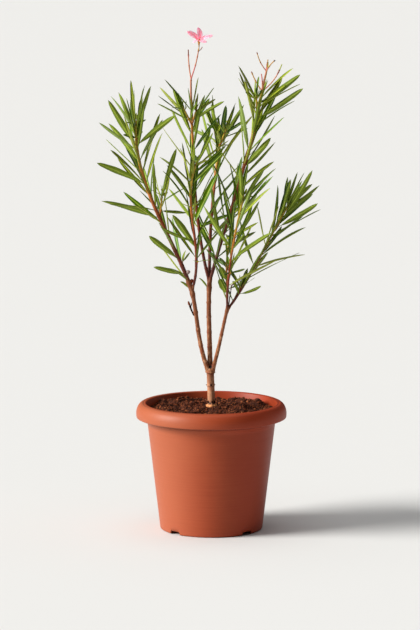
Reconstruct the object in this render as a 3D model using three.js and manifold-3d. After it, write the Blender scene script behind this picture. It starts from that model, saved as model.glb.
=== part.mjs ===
// Potted oleander: a young shrub of several thin stems in a round pot with a rolled rim.
// Millimetres, +Z up, +X right and +Y away from the viewer.
// The origin is the middle of the pot's flat underside.

import * as THREE from 'three';
import { mergeVertices } from 'three/addons/utils/BufferGeometryUtils.js';
import Module from 'manifold-3d';

const wasm = await Module();
wasm.setup();

// Driving sizes of the pot
const POT_HEIGHT = 203;
const POT_RIM_RADIUS = 120;
const POT_BASE_RADIUS = 82;
const POT_THROAT_RADIUS = 105.7;
const POT_WALL = 2.4;
const POT_SIDES = 36;
const POT_CORNER = 3.5;
const CREST_RADIUS = 109;
const RIM_MIDDLE = 186;
const LIP_ANGLE = -20;
const LIP_THICKNESS = 2.2;
const PAD_RADIUS = 60;
const DRAIN_RISE = 5;
const SLOT_WIDTH = 20;
const SLOT_HEIGHT = 5.4;
const SLOT_ANGLES = [-135, -46, 43, 132];
const DRAIN_HOLES = 6;
const DRAIN_HOLE_RADIUS = 4.5;

// Driving sizes of the compost and the stems
const GAP = 0.3;
const SOIL_MIDDLE = 195.3;
const SOIL_EDGE = 190.5;
const SOIL_FLAT_RADIUS = 14;
const SOIL_LUMP = 2.2;
const TRUNK_SIDES = 8;
const BOUGH_SIDES = 6;
const STEM_SIDES = 5;
const STALK_SIDES = 4;

// Where the stems fork, and how much of each branch the forking piece carries
const TRUNK_TOP = [-1.7, 0, 250];
const LEFT_FORK = [-31, -14, 385];
const CENTRE_FORK = [-3, 18, 393];
const RIGHT_FORK = [25, -12, 354];
const CROWDED_STUB = 20;
const OPEN_STUB = 12;

// The trunk swells at its foot, at a scar ring and under the fork: how far up, how much and how gently
const TRUNK_SWELLINGS = [
  { at: 0, height: 2.6, width: 4.5 },
  { at: 35.6, height: 0.8, width: 2.2 },
  { at: 50, height: 0.9, width: 2.2 },
];

// A stem's path is a fork, two points that it bends by, and its tip. thick is its radius at each end.
const TRUNK = { path: [[0, 0, SOIL_MIDDLE + GAP], [0, 0, 215], [-1, 0, 232], TRUNK_TOP], thick: [6.2, 5.6] };
const LEFT = { path: [[-3, -1, 250], [-23, -3, 297], [-21, -8, 342], LEFT_FORK], thick: [3.6, 3.2] };
const CENTRE = { path: [[-2, 1, 250], [-2, 8, 304], [-6, 13, 348], CENTRE_FORK], thick: [3.8, 3.3] };
const RIGHT = { path: [[0, -1, 250], [12, -5, 288], [17, -9, 322], RIGHT_FORK], thick: [2.9, 2.4] };
const LEFT_OUTER = { path: [LEFT_FORK, [-60, -20, 473], [-123, -26, 555], [-118, -32, 649]], thick: [2.7, 1.5] };
const LEFT_INNER = { path: [LEFT_FORK, [-8, -35, 453], [-48, -57, 523], [-25, -78, 591]], thick: [2.1, 1.3] };
const CENTRE_LEFT = { path: [CENTRE_FORK, [-28, 35, 486], [-29, 53, 584], [-32, 70, 680]], thick: [2.7, 1.4] };
const CENTRE_MIDDLE = { path: [CENTRE_FORK, [-4, 51, 462], [2, 85, 532], [13, 118, 601]], thick: [2.7, 1.5] };
const CENTRE_RIGHT = { path: [CENTRE_FORK, [24, 13, 498], [64, 7, 599], [80, 2, 703]], thick: [2.7, 1.5] };
const RIGHT_INNER = { path: [RIGHT_FORK, [25, 2, 386], [22, 16, 418], [27, 30, 451]], thick: [1.7, 1.2] };
const RIGHT_MIDDLE = { path: [RIGHT_FORK, [24, -35, 417], [36, -59, 479], [49, -82, 538]], thick: [2.0, 1.2] };
const RIGHT_OUTER = { path: [RIGHT_FORK, [58, 1, 395], [84, 16, 452], [120, 32, 512]], thick: [2.1, 1.3] };

// The bare lower part of each centre stem, as a share of its length
const CENTRE_LEFT_BARE = 0.27;
const CENTRE_MIDDLE_BARE = 0.31;
const CENTRE_RIGHT_BARE = 0.12;

// Flower stalks are bare, straight and pink. Each row of a list is one length of stalk.
const STALK_RADIUS = 1;
const FLOWER_BASE = [-19.7, 66, 764.8];
const FLOWER_STALK_FORK = [-32.5, 69, 713.6];
const FLOWER_STALKS = [
  [[-32, 70, 676], FLOWER_STALK_FORK],
  [FLOWER_STALK_FORK, FLOWER_BASE],
  [FLOWER_STALK_FORK, [-36.7, 72, 760.3]],
];
const SPENT_STALK_FOOT = [80, 2, 700];
const SPENT_STALK_FORK = [86.6, 2, 731.7];
const SPENT_STALKS = [
  [SPENT_STALK_FOOT, SPENT_STALK_FORK],
  [SPENT_STALK_FORK, [71.5, 0, 762]],
  [SPENT_STALK_FORK, [89.1, 5, 750.4]],
  [SPENT_STALK_FORK, [100.3, -5, 750]],
  [SPENT_STALK_FOOT, [62.9, 8, 731.2]],
  [SPENT_STALK_FOOT, [110.9, -8, 744]],
];

// The one open flower: a narrow tube, then five petals that spread from its throat
const FLOWER_TUBE = { length: 13, foot: 1.2, throat: 3.2 };
const FLOWER_TILT = 22;
const PETALS = 5;
const PETAL = { length: 23, width: 12, lean: 58, thickness: 1, outline: [0.3, 0.7, 1, 0.85, 0.4] };

// How the leaves grow. Each list of three gives a shoot's low, middle and top leaves.
const LEAF = {
  length: [1, 1, 0.8],
  lean: [52, 35, 28],
  youngLength: [1.05, 0.98, 0.6],
  youngLean: [56, 38, 24],
  leanSpread: 38,
  bend: 38,
  bendMiddle: 0.45,
  sway: 28,
  roll: 140,
  lowKept: 0.8,
  lowKeptRise: 1.6,
  widthBase: 3.8,
  widthRate: 0.056,
  thickness: 1.2,
  outline: [0.16, 1, 0.8, 0],
};
const WHORL = 3;
const WHORL_TURN = 60;
const WHORL_TURN_SPREAD = 24;
const WHORL_CROWDING = 1.35;
const WHORL_LAST = 0.985;
const LEAF_AZIMUTH_SPREAD = 26;
const LENGTH_SPREAD = 0.28;
const SHOOT_MIDDLE = 0.55;
const LEAF_STEPS = 3;

// A leaf is left out where its midrib or an edge comes nearer than this to something else
const CLEAR_OF_LEAVES = 3.8;
const CLEAR_OF_STEMS = 2.6;
const CLEAR_OF_OWN_STEM = 0.8;
const CLEAR_OF_OWN_LEAVES = 2.2;
const STEM_CHECK_STEPS = 10;

// A side shoot is short and straight, with young leaves
const sideShoot = (from, to, changes) => ({
  path: [from, between(from, to, 1 / 3), between(from, to, 2 / 3), to],
  thick: [1.4, 1.1],
  whorls: 2,
  first: 0.35,
  leaf: 66,
  young: true,
  ...changes,
});

// Each mass of leaves: how many millimetres of its main stem belong to the fork or the bare limb below it
// (a share of the length where under 1), how far its leaves may reach from their stem, and its shoots.
const MASSES = [
  {
    name: 'foliage_left_outer', seed: 1857, below: OPEN_STUB, reach: 86,
    shoots: [
      { ...LEFT_OUTER, whorls: 14, first: 0.06, leaf: 98 },
      sideShoot([-81, -22, 504], [-78, 2, 533], { whorls: 3, first: 0.3, leaf: 58 }),
    ],
  },
  {
    name: 'foliage_centre_left', seed: 1056, below: CENTRE_LEFT_BARE, reach: 80,
    shoots: [
      { ...CENTRE_LEFT, whorls: 9, first: 0.3, leaf: 86 },
      sideShoot([-31, 58, 641], [-42, 52, 664]),
      sideShoot([-31, 58, 641], [-25, 68, 661]),
    ],
    stalks: FLOWER_STALKS,
    flower: FLOWER_BASE,
  },
  {
    name: 'foliage_centre_right', seed: 1091, below: CENTRE_RIGHT_BARE, reach: 86,
    shoots: [
      { ...CENTRE_RIGHT, whorls: 14, first: 0.13, leaf: 95 },
      sideShoot([72, 4, 663], [71, -12, 688], { leaf: 62 }),
    ],
    stalks: SPENT_STALKS,
  },
  {
    name: 'foliage_right_outer', seed: 1547, below: OPEN_STUB, reach: 86,
    shoots: [{ ...RIGHT_OUTER, whorls: 11, first: 0.09, leaf: 91 }],
  },
  {
    name: 'foliage_left_inner', seed: 448, below: OPEN_STUB, reach: 80,
    shoots: [{ ...LEFT_INNER, whorls: 9, first: 0.12, leaf: 88 }],
  },
  {
    name: 'foliage_centre_middle', seed: 1126, below: CENTRE_MIDDLE_BARE, reach: 80,
    shoots: [
      { ...CENTRE_MIDDLE, whorls: 8, first: 0.33, leaf: 106 },
      sideShoot([13, 118, 601], [5, 130, 626], { whorls: 3, first: 0.3 }),
      sideShoot([13, 118, 601], [21, 108, 622], { whorls: 3, first: 0.3 }),
    ],
  },
  {
    name: 'foliage_right_middle', seed: 313, below: OPEN_STUB, reach: 80,
    shoots: [{ ...RIGHT_MIDDLE, whorls: 10, first: 0.22, leaf: 99 }],
  },
  {
    name: 'foliage_right_inner', seed: 1161, below: OPEN_STUB, reach: 70,
    shoots: [{ ...RIGHT_INNER, whorls: 7, first: 0.16, leaf: 62 }],
  },
];

// Small helpers

const radians = THREE.MathUtils.degToRad;
const vector = (p) => new THREE.Vector3(...p);

function between(a, b, t) {
  return a.map((value, axis) => value + (b[axis] - value) * t);
}

function curveOf(stem) {
  return new THREE.CubicBezierCurve3(...stem.path.map(vector));
}

// A value that runs from low through middle to top along a shoot
function along(t, [low, middle, top]) {
  return t < SHOOT_MIDDLE
    ? low + ((middle - low) * t) / SHOOT_MIDDLE
    : middle + ((top - middle) * (t - SHOOT_MIDDLE)) / (1 - SHOOT_MIDDLE);
}

// A stream of numbers from 0 to 1 that is the same for the same seed
function stream(seed) {
  let state = seed >>> 0;
  const next = () => {
    state = (Math.imul(state, 1664525) + 1013904223) >>> 0;
    return state / 2 ** 32;
  };
  for (let warm = 0; warm < 3; warm += 1) next();
  return next;
}

// Solids: a closed geometry becomes a Manifold and back

function solidOf(geometry) {
  const bare = geometry.clone();
  bare.deleteAttribute('normal');
  bare.deleteAttribute('uv');
  const merged = mergeVertices(bare, 1e-4);
  const vertProperties = new Float32Array(merged.attributes.position.array);
  const triVerts = new Uint32Array(merged.index.array);
  return new wasm.Manifold(new wasm.Mesh({ numProp: 3, vertProperties, triVerts }));
}

function geometryOf(solid) {
  const mesh = solid.getMesh();
  const geometry = new THREE.BufferGeometry();
  geometry.setAttribute('position', new THREE.BufferAttribute(new Float32Array(mesh.vertProperties), 3));
  geometry.setIndex(new THREE.BufferAttribute(new Uint32Array(mesh.triVerts), 1));
  geometry.computeVertexNormals();
  return geometry;
}

function fuse(solids) {
  return wasm.Manifold.union(solids);
}

function named(name, solid, material) {
  const mesh = new THREE.Mesh(geometryOf(solid), material);
  mesh.name = name;
  return mesh;
}

// A cylinder of the given sides whose rings follow a curve, with a radius that may change on the way
function stemSolid(curve, radiusAt, { from = 0, to = 1, sides = STEM_SIDES, steps = 10 }) {
  const geometry = new THREE.CylinderGeometry(1, 1, 1, sides, steps);
  const position = geometry.attributes.position;
  const start = curve.getTangentAt(from);
  const side = new THREE.Vector3(1, 0, 0).addScaledVector(start, -start.x).normalize();
  for (let i = 0; i < position.count; i += 1) {
    const share = from + (position.getY(i) + 0.5) * (to - from);
    const centre = curve.getPointAt(share);
    const tangent = curve.getTangentAt(share);
    const across = side.clone().addScaledVector(tangent, -side.dot(tangent)).normalize();
    const third = new THREE.Vector3().crossVectors(across, tangent);
    const radius = radiusAt(share);
    centre.addScaledVector(across, position.getX(i) * radius);
    centre.addScaledVector(third, position.getZ(i) * radius);
    position.setXYZ(i, centre.x, centre.y, centre.z);
  }
  return solidOf(geometry);
}

function limbSolid(stem, options) {
  const [foot, tip] = stem.thick;
  return stemSolid(curveOf(stem), (share) => foot + (tip - foot) * share, options);
}

// The first part of a branch, which its parent carries
function stubSolid(stem, length, sides) {
  return limbSolid(stem, { from: 0, to: length / curveOf(stem).getLength(), sides, steps: 3 });
}

// The share of a branch at which a piece starts, just clear of the piece below it
function startShare(stem, below) {
  const length = curveOf(stem).getLength();
  return (below < 1 ? below : below / length) + GAP / length;
}

// Pot

function arc(centreR, centreZ, acrossR, acrossZ, degrees) {
  return degrees.map((d) => [
    centreR + acrossR * Math.cos(radians(d)),
    centreZ + acrossZ * Math.sin(radians(d)),
  ]);
}

// The inner wall's radius at a height
function wallRadius(z) {
  const rise = (z - POT_CORNER) / (POT_HEIGHT - POT_CORNER);
  return POT_BASE_RADIUS + (POT_THROAT_RADIUS - POT_BASE_RADIUS) * rise;
}

function lathe(profile) {
  const points = profile.map(([r, z]) => new THREE.Vector2(r, z));
  return new THREE.LatheGeometry(points, POT_SIDES).rotateX(Math.PI / 2);
}

function potSolid() {
  const rimWide = POT_RIM_RADIUS - CREST_RADIUS;
  const rimHigh = POT_HEIGHT - RIM_MIDDLE;
  const rimArc = (thick, degrees) => arc(CREST_RADIUS, RIM_MIDDLE, rimWide - thick, rimHigh - thick, degrees);
  const hoodTop = POT_HEIGHT - 3.6;
  const crestRound = CREST_RADIUS - (wallRadius(POT_HEIGHT) - POT_WALL);
  const floorTop = DRAIN_RISE + POT_WALL;
  const profile = [
    [0, 0],
    [PAD_RADIUS, 0],
    [PAD_RADIUS + 2, DRAIN_RISE],
    [POT_BASE_RADIUS - 7, DRAIN_RISE],
    [POT_BASE_RADIUS - 5, 0],
    [POT_BASE_RADIUS - 2, 0],
    [POT_BASE_RADIUS - 0.5, 1],
    [POT_BASE_RADIUS, POT_CORNER],
    [wallRadius(hoodTop), hoodTop],
    ...rimArc(LIP_THICKNESS, [60, 15, LIP_ANGLE]),
    ...rimArc(0, [LIP_ANGLE, 0, 28, 60, 90]),
    ...arc(CREST_RADIUS, POT_HEIGHT - crestRound, crestRound, crestRound, [135, 180]),
    [wallRadius(floorTop + 2) - POT_WALL, floorTop + 2],
    [wallRadius(floorTop) - POT_WALL - 2, floorTop],
    [PAD_RADIUS, floorTop],
    [PAD_RADIUS - 2.5, POT_WALL],
    [0, POT_WALL],
  ];
  const slots = SLOT_ANGLES.map((degrees) => {
    const slot = new THREE.BoxGeometry(16, SLOT_WIDTH, SLOT_HEIGHT + 2);
    slot.translate(POT_BASE_RADIUS, 0, SLOT_HEIGHT / 2 - 1);
    return solidOf(slot.rotateZ(radians(degrees)));
  });
  const holes = Array.from({ length: DRAIN_HOLES }, (_, i) => {
    const hole = new THREE.CylinderGeometry(DRAIN_HOLE_RADIUS, DRAIN_HOLE_RADIUS, 12, 10);
    hole.rotateX(Math.PI / 2).translate((PAD_RADIUS + POT_BASE_RADIUS - 5) / 2, 0, DRAIN_RISE);
    return solidOf(hole.rotateZ((i * 2 * Math.PI) / DRAIN_HOLES));
  });
  return solidOf(lathe(profile)).subtract(fuse([...slots, ...holes]));
}

// Compost: it fills the pot to just under the rim, with a lumpy top that is flat only under the trunk

function soilSolid() {
  const foot = DRAIN_RISE + POT_WALL + GAP;
  const clear = POT_WALL + GAP + 0.2;
  const edge = wallRadius(SOIL_EDGE) - clear;
  const fall = (r) => (SOIL_MIDDLE - SOIL_EDGE) * ((r - SOIL_FLAT_RADIUS) / (edge - SOIL_FLAT_RADIUS)) ** 2;
  const top = [95, 82, 66, 48, 30, SOIL_FLAT_RADIUS].map((r) => [r, SOIL_MIDDLE - fall(r)]);
  const profile = [
    [0, foot],
    [wallRadius(foot) - clear - 3, foot],
    [wallRadius(foot + 4) - clear, foot + 4],
    [edge, SOIL_EDGE],
    ...top,
    [0, SOIL_MIDDLE],
  ];
  const geometry = lathe(profile);
  const position = geometry.attributes.position;
  for (let i = 0; i < position.count; i += 1) {
    const [x, y, z] = [position.getX(i), position.getY(i), position.getZ(i)];
    const r = Math.hypot(x, y);
    if (z > SOIL_EDGE && r > SOIL_FLAT_RADIUS + 1 && r < edge - 1) {
      const lump = Math.sin(x * 0.19 + 1) * Math.sin(y * 0.17) + 0.6 * Math.sin(x * 0.41) * Math.cos(y * 0.37);
      position.setZ(i, z + SOIL_LUMP * lump);
    }
  }
  return solidOf(geometry);
}

// Trunk and boughs

function trunkSolid() {
  const curve = curveOf(TRUNK);
  const [foot, top] = TRUNK.thick;
  const swelling = (mm, { at, height, width }) => height * Math.exp(-(((mm - at) / width) ** 2));
  const radiusAt = (share) => {
    const mm = share * curve.getLength();
    return foot + (top - foot) * share + TRUNK_SWELLINGS.reduce((sum, one) => sum + swelling(mm, one), 0);
  };
  const post = stemSolid(curve, radiusAt, { sides: TRUNK_SIDES, steps: 16 });
  return fuse([post, ...[LEFT, CENTRE, RIGHT].map((bough) => stubSolid(bough, CROWDED_STUB, BOUGH_SIDES))]);
}

// A bough runs from the stub that carries it to its own fork, and carries the stubs of its branches
function boughSolid(bough, branches, stub) {
  const limb = limbSolid(bough, { from: startShare(bough, CROWDED_STUB), sides: BOUGH_SIDES, steps: 8 });
  return fuse([limb, ...branches.map((branch) => stubSolid(branch, stub, STEM_SIDES))]);
}

function bareLimbSolid(stem, share) {
  return limbSolid(stem, { from: startShare(stem, CROWDED_STUB), to: share, steps: 4 });
}

// Leaves: where each one grows

// One leaf: the points of its midrib, the direction of its width, and its width
function leafFrom(foot, tangent, turn, random, t, shoot) {
  const az = radians(turn + (random[1] - 0.5) * LEAF_AZIMUTH_SPREAD);
  const leanAt = along(t, shoot.young ? LEAF.youngLean : LEAF.lean);
  const lean = radians(leanAt + (random[2] - 0.5) * LEAF.leanSpread);
  const size = along(t, shoot.young ? LEAF.youngLength : LEAF.length);
  const length = shoot.leaf * size * (1 - LENGTH_SPREAD / 2 + LENGTH_SPREAD * random[3]);
  const bend = radians((random[4] - LEAF.bendMiddle) * LEAF.bend) * (0.4 + 0.6 * (1 - t));
  const sway = radians((random[5] - 0.5) * LEAF.sway);
  const roll = radians((random[6] - 0.5) * LEAF.roll);
  const side = new THREE.Vector3().crossVectors(tangent, new THREE.Vector3(0, 1, 0)).normalize();
  const back = new THREE.Vector3().crossVectors(tangent, side);
  const outward = (angle) => new THREE.Vector3()
    .addScaledVector(side, Math.cos(angle))
    .addScaledVector(back, Math.sin(angle));
  const heading = (share) => new THREE.Vector3()
    .addScaledVector(tangent, Math.cos(lean + bend * share))
    .addScaledVector(outward(az + sway * share), Math.sin(lean + bend * share));
  const midrib = [foot.clone()];
  for (let step = 0; step < LEAF_STEPS; step += 1) {
    const share = (step + 0.5) / LEAF_STEPS;
    midrib.push(midrib[step].clone().addScaledVector(heading(share), length / LEAF_STEPS));
  }
  const level = new THREE.Vector3().crossVectors(tangent, outward(az + sway / 2)).normalize();
  const upright = new THREE.Vector3().crossVectors(heading(0.5), level);
  const across = level.multiplyScalar(Math.cos(roll)).addScaledVector(upright, Math.sin(roll));
  return { midrib, across, length, width: LEAF.widthBase + LEAF.widthRate * length };
}

// Leaves stand three to a whorl, each whorl turned from the one below it, closer together up the shoot
function leavesOn(shoot, seed) {
  const next = stream(seed);
  const curve = curveOf(shoot);
  const leaves = [];
  let turn = next() * 360;
  for (let whorl = 0; whorl < shoot.whorls; whorl += 1) {
    const t = shoot.whorls > 1 ? whorl / (shoot.whorls - 1) : 0;
    const share = shoot.first + (WHORL_LAST - shoot.first) * (1 - (1 - t) ** WHORL_CROWDING);
    const foot = curve.getPointAt(share);
    const tangent = curve.getTangentAt(share);
    turn += WHORL_TURN + (next() - 0.5) * WHORL_TURN_SPREAD;
    for (let leaf = 0; leaf < WHORL; leaf += 1) {
      const random = Array.from({ length: 7 }, next);
      const kept = LEAF.lowKept + (1 - LEAF.lowKept) * Math.min(1, t * LEAF.lowKeptRise);
      if (shoot.young || random[0] < kept) {
        leaves.push(leafFrom(foot, tangent, turn + (leaf * 360) / WHORL, random, t, shoot));
      }
    }
  }
  return leaves;
}

// Distances that decide which leaves are left out

// The least distance between two straight pieces
function apart([p1, q1], [p2, q2]) {
  const d1 = q1.clone().sub(p1);
  const d2 = q2.clone().sub(p2);
  const r = p1.clone().sub(p2);
  const a = d1.dot(d1) + 1e-12;
  const e = d2.dot(d2) + 1e-12;
  const b = d1.dot(d2);
  const c = d1.dot(r);
  const f = d2.dot(r);
  const clamp = (value) => Math.min(1, Math.max(0, value));
  const spread = a * e - b * b;
  let s = spread > 1e-9 ? clamp((b * f - c * e) / spread) : 0;
  let t = (b * s + f) / e;
  if (t < 0) s = clamp(-c / a);
  if (t > 1) s = clamp((b - c) / a);
  t = clamp(t);
  return p1.clone().addScaledVector(d1, s).distanceTo(p2.clone().addScaledVector(d2, t));
}

// A leaf as three lines of straight pieces: its midrib and its two edges
function linesOf(leaf) {
  const edge = (side) => leaf.midrib.map((point, i) => point.clone()
    .addScaledVector(leaf.across, (side * leaf.width * LEAF.outline[i]) / 2));
  return [edge(0), edge(1), edge(-1)].map((line) => line.slice(1).map((point, i) => [line[i], point]));
}

function nearest(pieces, others) {
  let least = Infinity;
  pieces.forEach((piece) => others.forEach((other) => {
    least = Math.min(least, apart(piece, other));
  }));
  return least;
}

// A stem as straight pieces, each with its radius
function stemPieces(stem) {
  const curve = curveOf(stem);
  const points = curve.getPoints(STEM_CHECK_STEPS);
  const [foot, tip] = stem.thick;
  return points.slice(1).map((point, i) => ({
    piece: [points[i], point],
    radius: foot + ((tip - foot) * i) / (STEM_CHECK_STEPS - 1),
  }));
}

function stalkPieces(stalks = []) {
  return stalks.map(([foot, tip]) => ({ piece: [vector(foot), vector(tip)], radius: STALK_RADIUS }));
}

function clearOf(pieces, stems, margin) {
  return stems.every(({ piece, radius }) => nearest(pieces, [piece]) - radius >= margin);
}

// Masses are filled in the order of the list. A leaf that would reach too far, or come too close to a stem
// or to a leaf that is there already, is left out.
function growLeaves() {
  const boughs = [LEFT, CENTRE, RIGHT].flatMap(stemPieces);
  const placed = [];
  return MASSES.map((mass) => {
    const ownStems = mass.shoots.flatMap(stemPieces);
    const otherStems = MASSES.filter((other) => other !== mass)
      .flatMap((other) => other.shoots.flatMap(stemPieces))
      .concat(MASSES.flatMap((other) => stalkPieces(other.stalks)), boughs);
    const kept = [];
    mass.shoots.forEach((shoot, i) => leavesOn(shoot, mass.seed + i).forEach((leaf) => {
      const lines = linesOf(leaf);
      const all = lines.flat();
      const outer = lines.flatMap((line) => line.slice(1));
      const tip = leaf.midrib[LEAF_STEPS];
      const middle = leaf.midrib[1];
      const close = (other) => other.middle.distanceTo(middle) < (other.length + leaf.length) * 0.6 + 6;
      const fits = ownStems.some(({ piece }) => apart([tip, tip], piece) < mass.reach)
        && placed.filter(close).every((other) => nearest(all, other.all) >= CLEAR_OF_LEAVES)
        && clearOf(all, otherStems, CLEAR_OF_STEMS)
        && clearOf(outer, ownStems, CLEAR_OF_OWN_STEM)
        && kept.every((other) => nearest(lines[0].slice(1), other.midrib) >= CLEAR_OF_OWN_LEAVES);
      if (fits) {
        kept.push({ ...leaf, leaf, all, middle, midrib: lines[0].slice(1) });
      }
    }));
    placed.push(...kept);
    return kept.map((entry) => entry.leaf);
  });
}

// A blade is a cone of three sides with its rings laid along the midrib: flat above, keeled below
function bladeSolid({ midrib, across, width }, outline, thickness) {
  const steps = midrib.length - 1;
  const geometry = new THREE.ConeGeometry(1, 1, 3, steps);
  const position = geometry.attributes.position;
  const chord = midrib[steps].clone().sub(midrib[0]).normalize();
  const below = new THREE.Vector3().crossVectors(across, chord).normalize();
  for (let i = 0; i < position.count; i += 1) {
    const step = Math.round((position.getY(i) + 0.5) * steps);
    const point = midrib[step].clone();
    const ring = Math.hypot(position.getX(i), position.getZ(i));
    if (ring > 1e-6) {
      const corner = Math.atan2(position.getX(i), position.getZ(i));
      const half = (width * outline[step]) / 2;
      const depth = thickness * Math.min(1, 0.3 + outline[step]);
      const keel = Math.abs(corner) < 0.1;
      point.addScaledVector(across, keel ? 0 : Math.sign(Math.sin(corner)) * half);
      point.addScaledVector(below, keel ? depth : 0);
    }
    position.setXYZ(i, point.x, point.y, point.z);
  }
  return solidOf(geometry);
}

// Flower and stalks

function stalkSolid([foot, tip]) {
  const curve = new THREE.LineCurve3(vector(foot), vector(tip));
  return stemSolid(curve, () => STALK_RADIUS, { sides: STALK_SIDES, steps: 1 });
}

function flowerSolid(base) {
  const axis = new THREE.Vector3(0, -Math.sin(radians(FLOWER_TILT)), Math.cos(radians(FLOWER_TILT)));
  const right = new THREE.Vector3(1, 0, 0);
  const rear = new THREE.Vector3().crossVectors(axis, right);
  const foot = vector(base);
  const throat = foot.clone().addScaledVector(axis, FLOWER_TUBE.length);
  const tube = stemSolid(
    new THREE.LineCurve3(foot.clone().addScaledVector(axis, -2), throat),
    (share) => FLOWER_TUBE.foot + (FLOWER_TUBE.throat - FLOWER_TUBE.foot) * share ** 2,
    { sides: STEM_SIDES, steps: 2 },
  );
  const petals = Array.from({ length: PETALS }, (_, i) => {
    const angle = Math.PI / 2 + (i * 2 * Math.PI) / PETALS;
    const outward = right.clone().multiplyScalar(Math.cos(angle)).addScaledVector(rear, Math.sin(angle));
    const lean = radians(PETAL.lean);
    const heading = outward.clone().multiplyScalar(Math.sin(lean)).addScaledVector(axis, Math.cos(lean));
    const across = new THREE.Vector3().crossVectors(axis, outward);
    const start = throat.clone().addScaledVector(axis, -2);
    const midrib = PETAL.outline.map((_half, step) => (
      start.clone().addScaledVector(heading, (PETAL.length * step) / (PETAL.outline.length - 1))
    ));
    return bladeSolid({ midrib, across, width: PETAL.width }, PETAL.outline, PETAL.thickness);
  });
  return fuse([tube, ...petals]);
}

// A mass of foliage: its stems, its leaves with their roots in the stems, and what flowers on it
function foliageSolid(mass, leaves) {
  const [main, ...sides] = mass.shoots;
  const pieces = [
    limbSolid(main, { from: startShare(main, mass.below), steps: 9 }),
    ...sides.map((shoot) => limbSolid(shoot, { steps: 2 })),
    ...leaves.map((leaf) => bladeSolid(leaf, LEAF.outline, LEAF.thickness)),
    ...(mass.stalks ?? []).map(stalkSolid),
  ];
  if (mass.flower) pieces.push(flowerSolid(mass.flower));
  return fuse(pieces);
}

// Materials, with the colours of the real thing

const terracotta = new THREE.MeshStandardMaterial({ color: 0xc9694a, roughness: 0.5, metalness: 0 });
const compost = new THREE.MeshStandardMaterial({ color: 0x3b271e, roughness: 0.95, metalness: 0 });
const oldBark = new THREE.MeshStandardMaterial({ color: 0x8d6244, roughness: 0.85, metalness: 0 });
const youngBark = new THREE.MeshStandardMaterial({ color: 0x7b4630, roughness: 0.75, metalness: 0 });
const foliage = new THREE.MeshStandardMaterial({ color: 0x5f7a35, roughness: 0.5, metalness: 0 });

// The plant in its pot

const plant = new THREE.Group();
plant.add(
  named('pot', potSolid(), terracotta),
  named('soil', soilSolid(), compost),
  named('trunk', trunkSolid(), oldBark),
  named('left_bough', boughSolid(LEFT, [LEFT_OUTER, LEFT_INNER], OPEN_STUB), youngBark),
  named('centre_bough', boughSolid(CENTRE, [CENTRE_LEFT, CENTRE_MIDDLE, CENTRE_RIGHT], CROWDED_STUB), youngBark),
  named('right_bough', boughSolid(RIGHT, [RIGHT_INNER, RIGHT_MIDDLE, RIGHT_OUTER], OPEN_STUB), youngBark),
  named('centre_left_limb', bareLimbSolid(CENTRE_LEFT, CENTRE_LEFT_BARE), youngBark),
  named('centre_middle_limb', bareLimbSolid(CENTRE_MIDDLE, CENTRE_MIDDLE_BARE), youngBark),
  named('centre_right_limb', bareLimbSolid(CENTRE_RIGHT, CENTRE_RIGHT_BARE), youngBark),
);
const leavesOfMass = growLeaves();
MASSES.forEach((mass, i) => plant.add(named(mass.name, foliageSolid(mass, leavesOfMass[i]), foliage)));

export default plant;
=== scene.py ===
# %% [markdown]
# This lesson dresses a potted oleander. A short trunk stands in a round plastic pot of compost and forks
# into three woody boughs, which fork again into thin leafy stems. One stem carries a single open flower,
# and another its spent flower stalks. The packed model is loaded first. It is the fixed frame: the places
# and sizes in it are never changed, and every piece made here rides on it.

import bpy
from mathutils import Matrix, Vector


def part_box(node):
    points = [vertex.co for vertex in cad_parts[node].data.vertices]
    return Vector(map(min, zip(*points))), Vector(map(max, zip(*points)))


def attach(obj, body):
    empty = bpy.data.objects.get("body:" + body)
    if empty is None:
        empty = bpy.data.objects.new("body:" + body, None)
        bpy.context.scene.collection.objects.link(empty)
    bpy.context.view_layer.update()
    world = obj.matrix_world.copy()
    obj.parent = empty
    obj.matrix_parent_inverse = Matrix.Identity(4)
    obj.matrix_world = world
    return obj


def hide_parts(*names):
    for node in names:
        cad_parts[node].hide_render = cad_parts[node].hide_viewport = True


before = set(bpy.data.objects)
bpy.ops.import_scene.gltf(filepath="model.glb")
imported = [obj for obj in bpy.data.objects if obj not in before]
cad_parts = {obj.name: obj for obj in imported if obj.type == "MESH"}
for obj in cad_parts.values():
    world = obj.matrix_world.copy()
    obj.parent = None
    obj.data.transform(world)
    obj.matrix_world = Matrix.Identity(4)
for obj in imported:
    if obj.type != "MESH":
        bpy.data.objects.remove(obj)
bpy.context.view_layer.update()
print("nodes in the frame:", len(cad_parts))

# %% [markdown]
# Sizes are written in millimetres, as on a workshop drawing, and become metres where a mesh is made.
# +Z is up, +X is to the right and +Y runs away from the camera. Points are kept as NumPy arrays, because
# a whole leaf or a whole stem can then be worked out in one expression.

# %% Units and small helpers
import math

import bpy
import numpy as np
from mathutils import Vector

MM = 0.001


def unit(vectors):
    """The same directions, each one long."""
    return vectors / np.linalg.norm(vectors, axis=-1, keepdims=True)


def linked(name, mesh):
    """Puts a mesh into the scene as an object at the origin."""
    piece = bpy.data.objects.new(name, mesh)
    bpy.context.scene.collection.objects.link(piece)
    return piece


def colour(code):
    """A colour written as six hex digits, in the linear values that Blender's sockets take."""
    shares = [int(code[i:i + 2], 16) / 255 for i in (0, 2, 4)]
    return (*[s / 12.92 if s <= 0.04045 else ((s + 0.055) / 1.055) ** 2.4 for s in shares], 1.0)


def between(low, high, share):
    """A value that runs from low to high as share runs from 0 to 1."""
    return low + (high - low) * share


print("one millimetre is", MM, "m")

# %% [markdown]
# A long lens from six metres away keeps the pot's rim a shallow oval. The camera stands a little above the
# plant and looks down by less than nine degrees. It is set up first.

# %% Camera
CAMERA_PLACE = (-2.2, -6000, 1260)
CAMERA_TARGET = (-2.2, 0, 344)
CAMERA_LENS = 218.3


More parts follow.
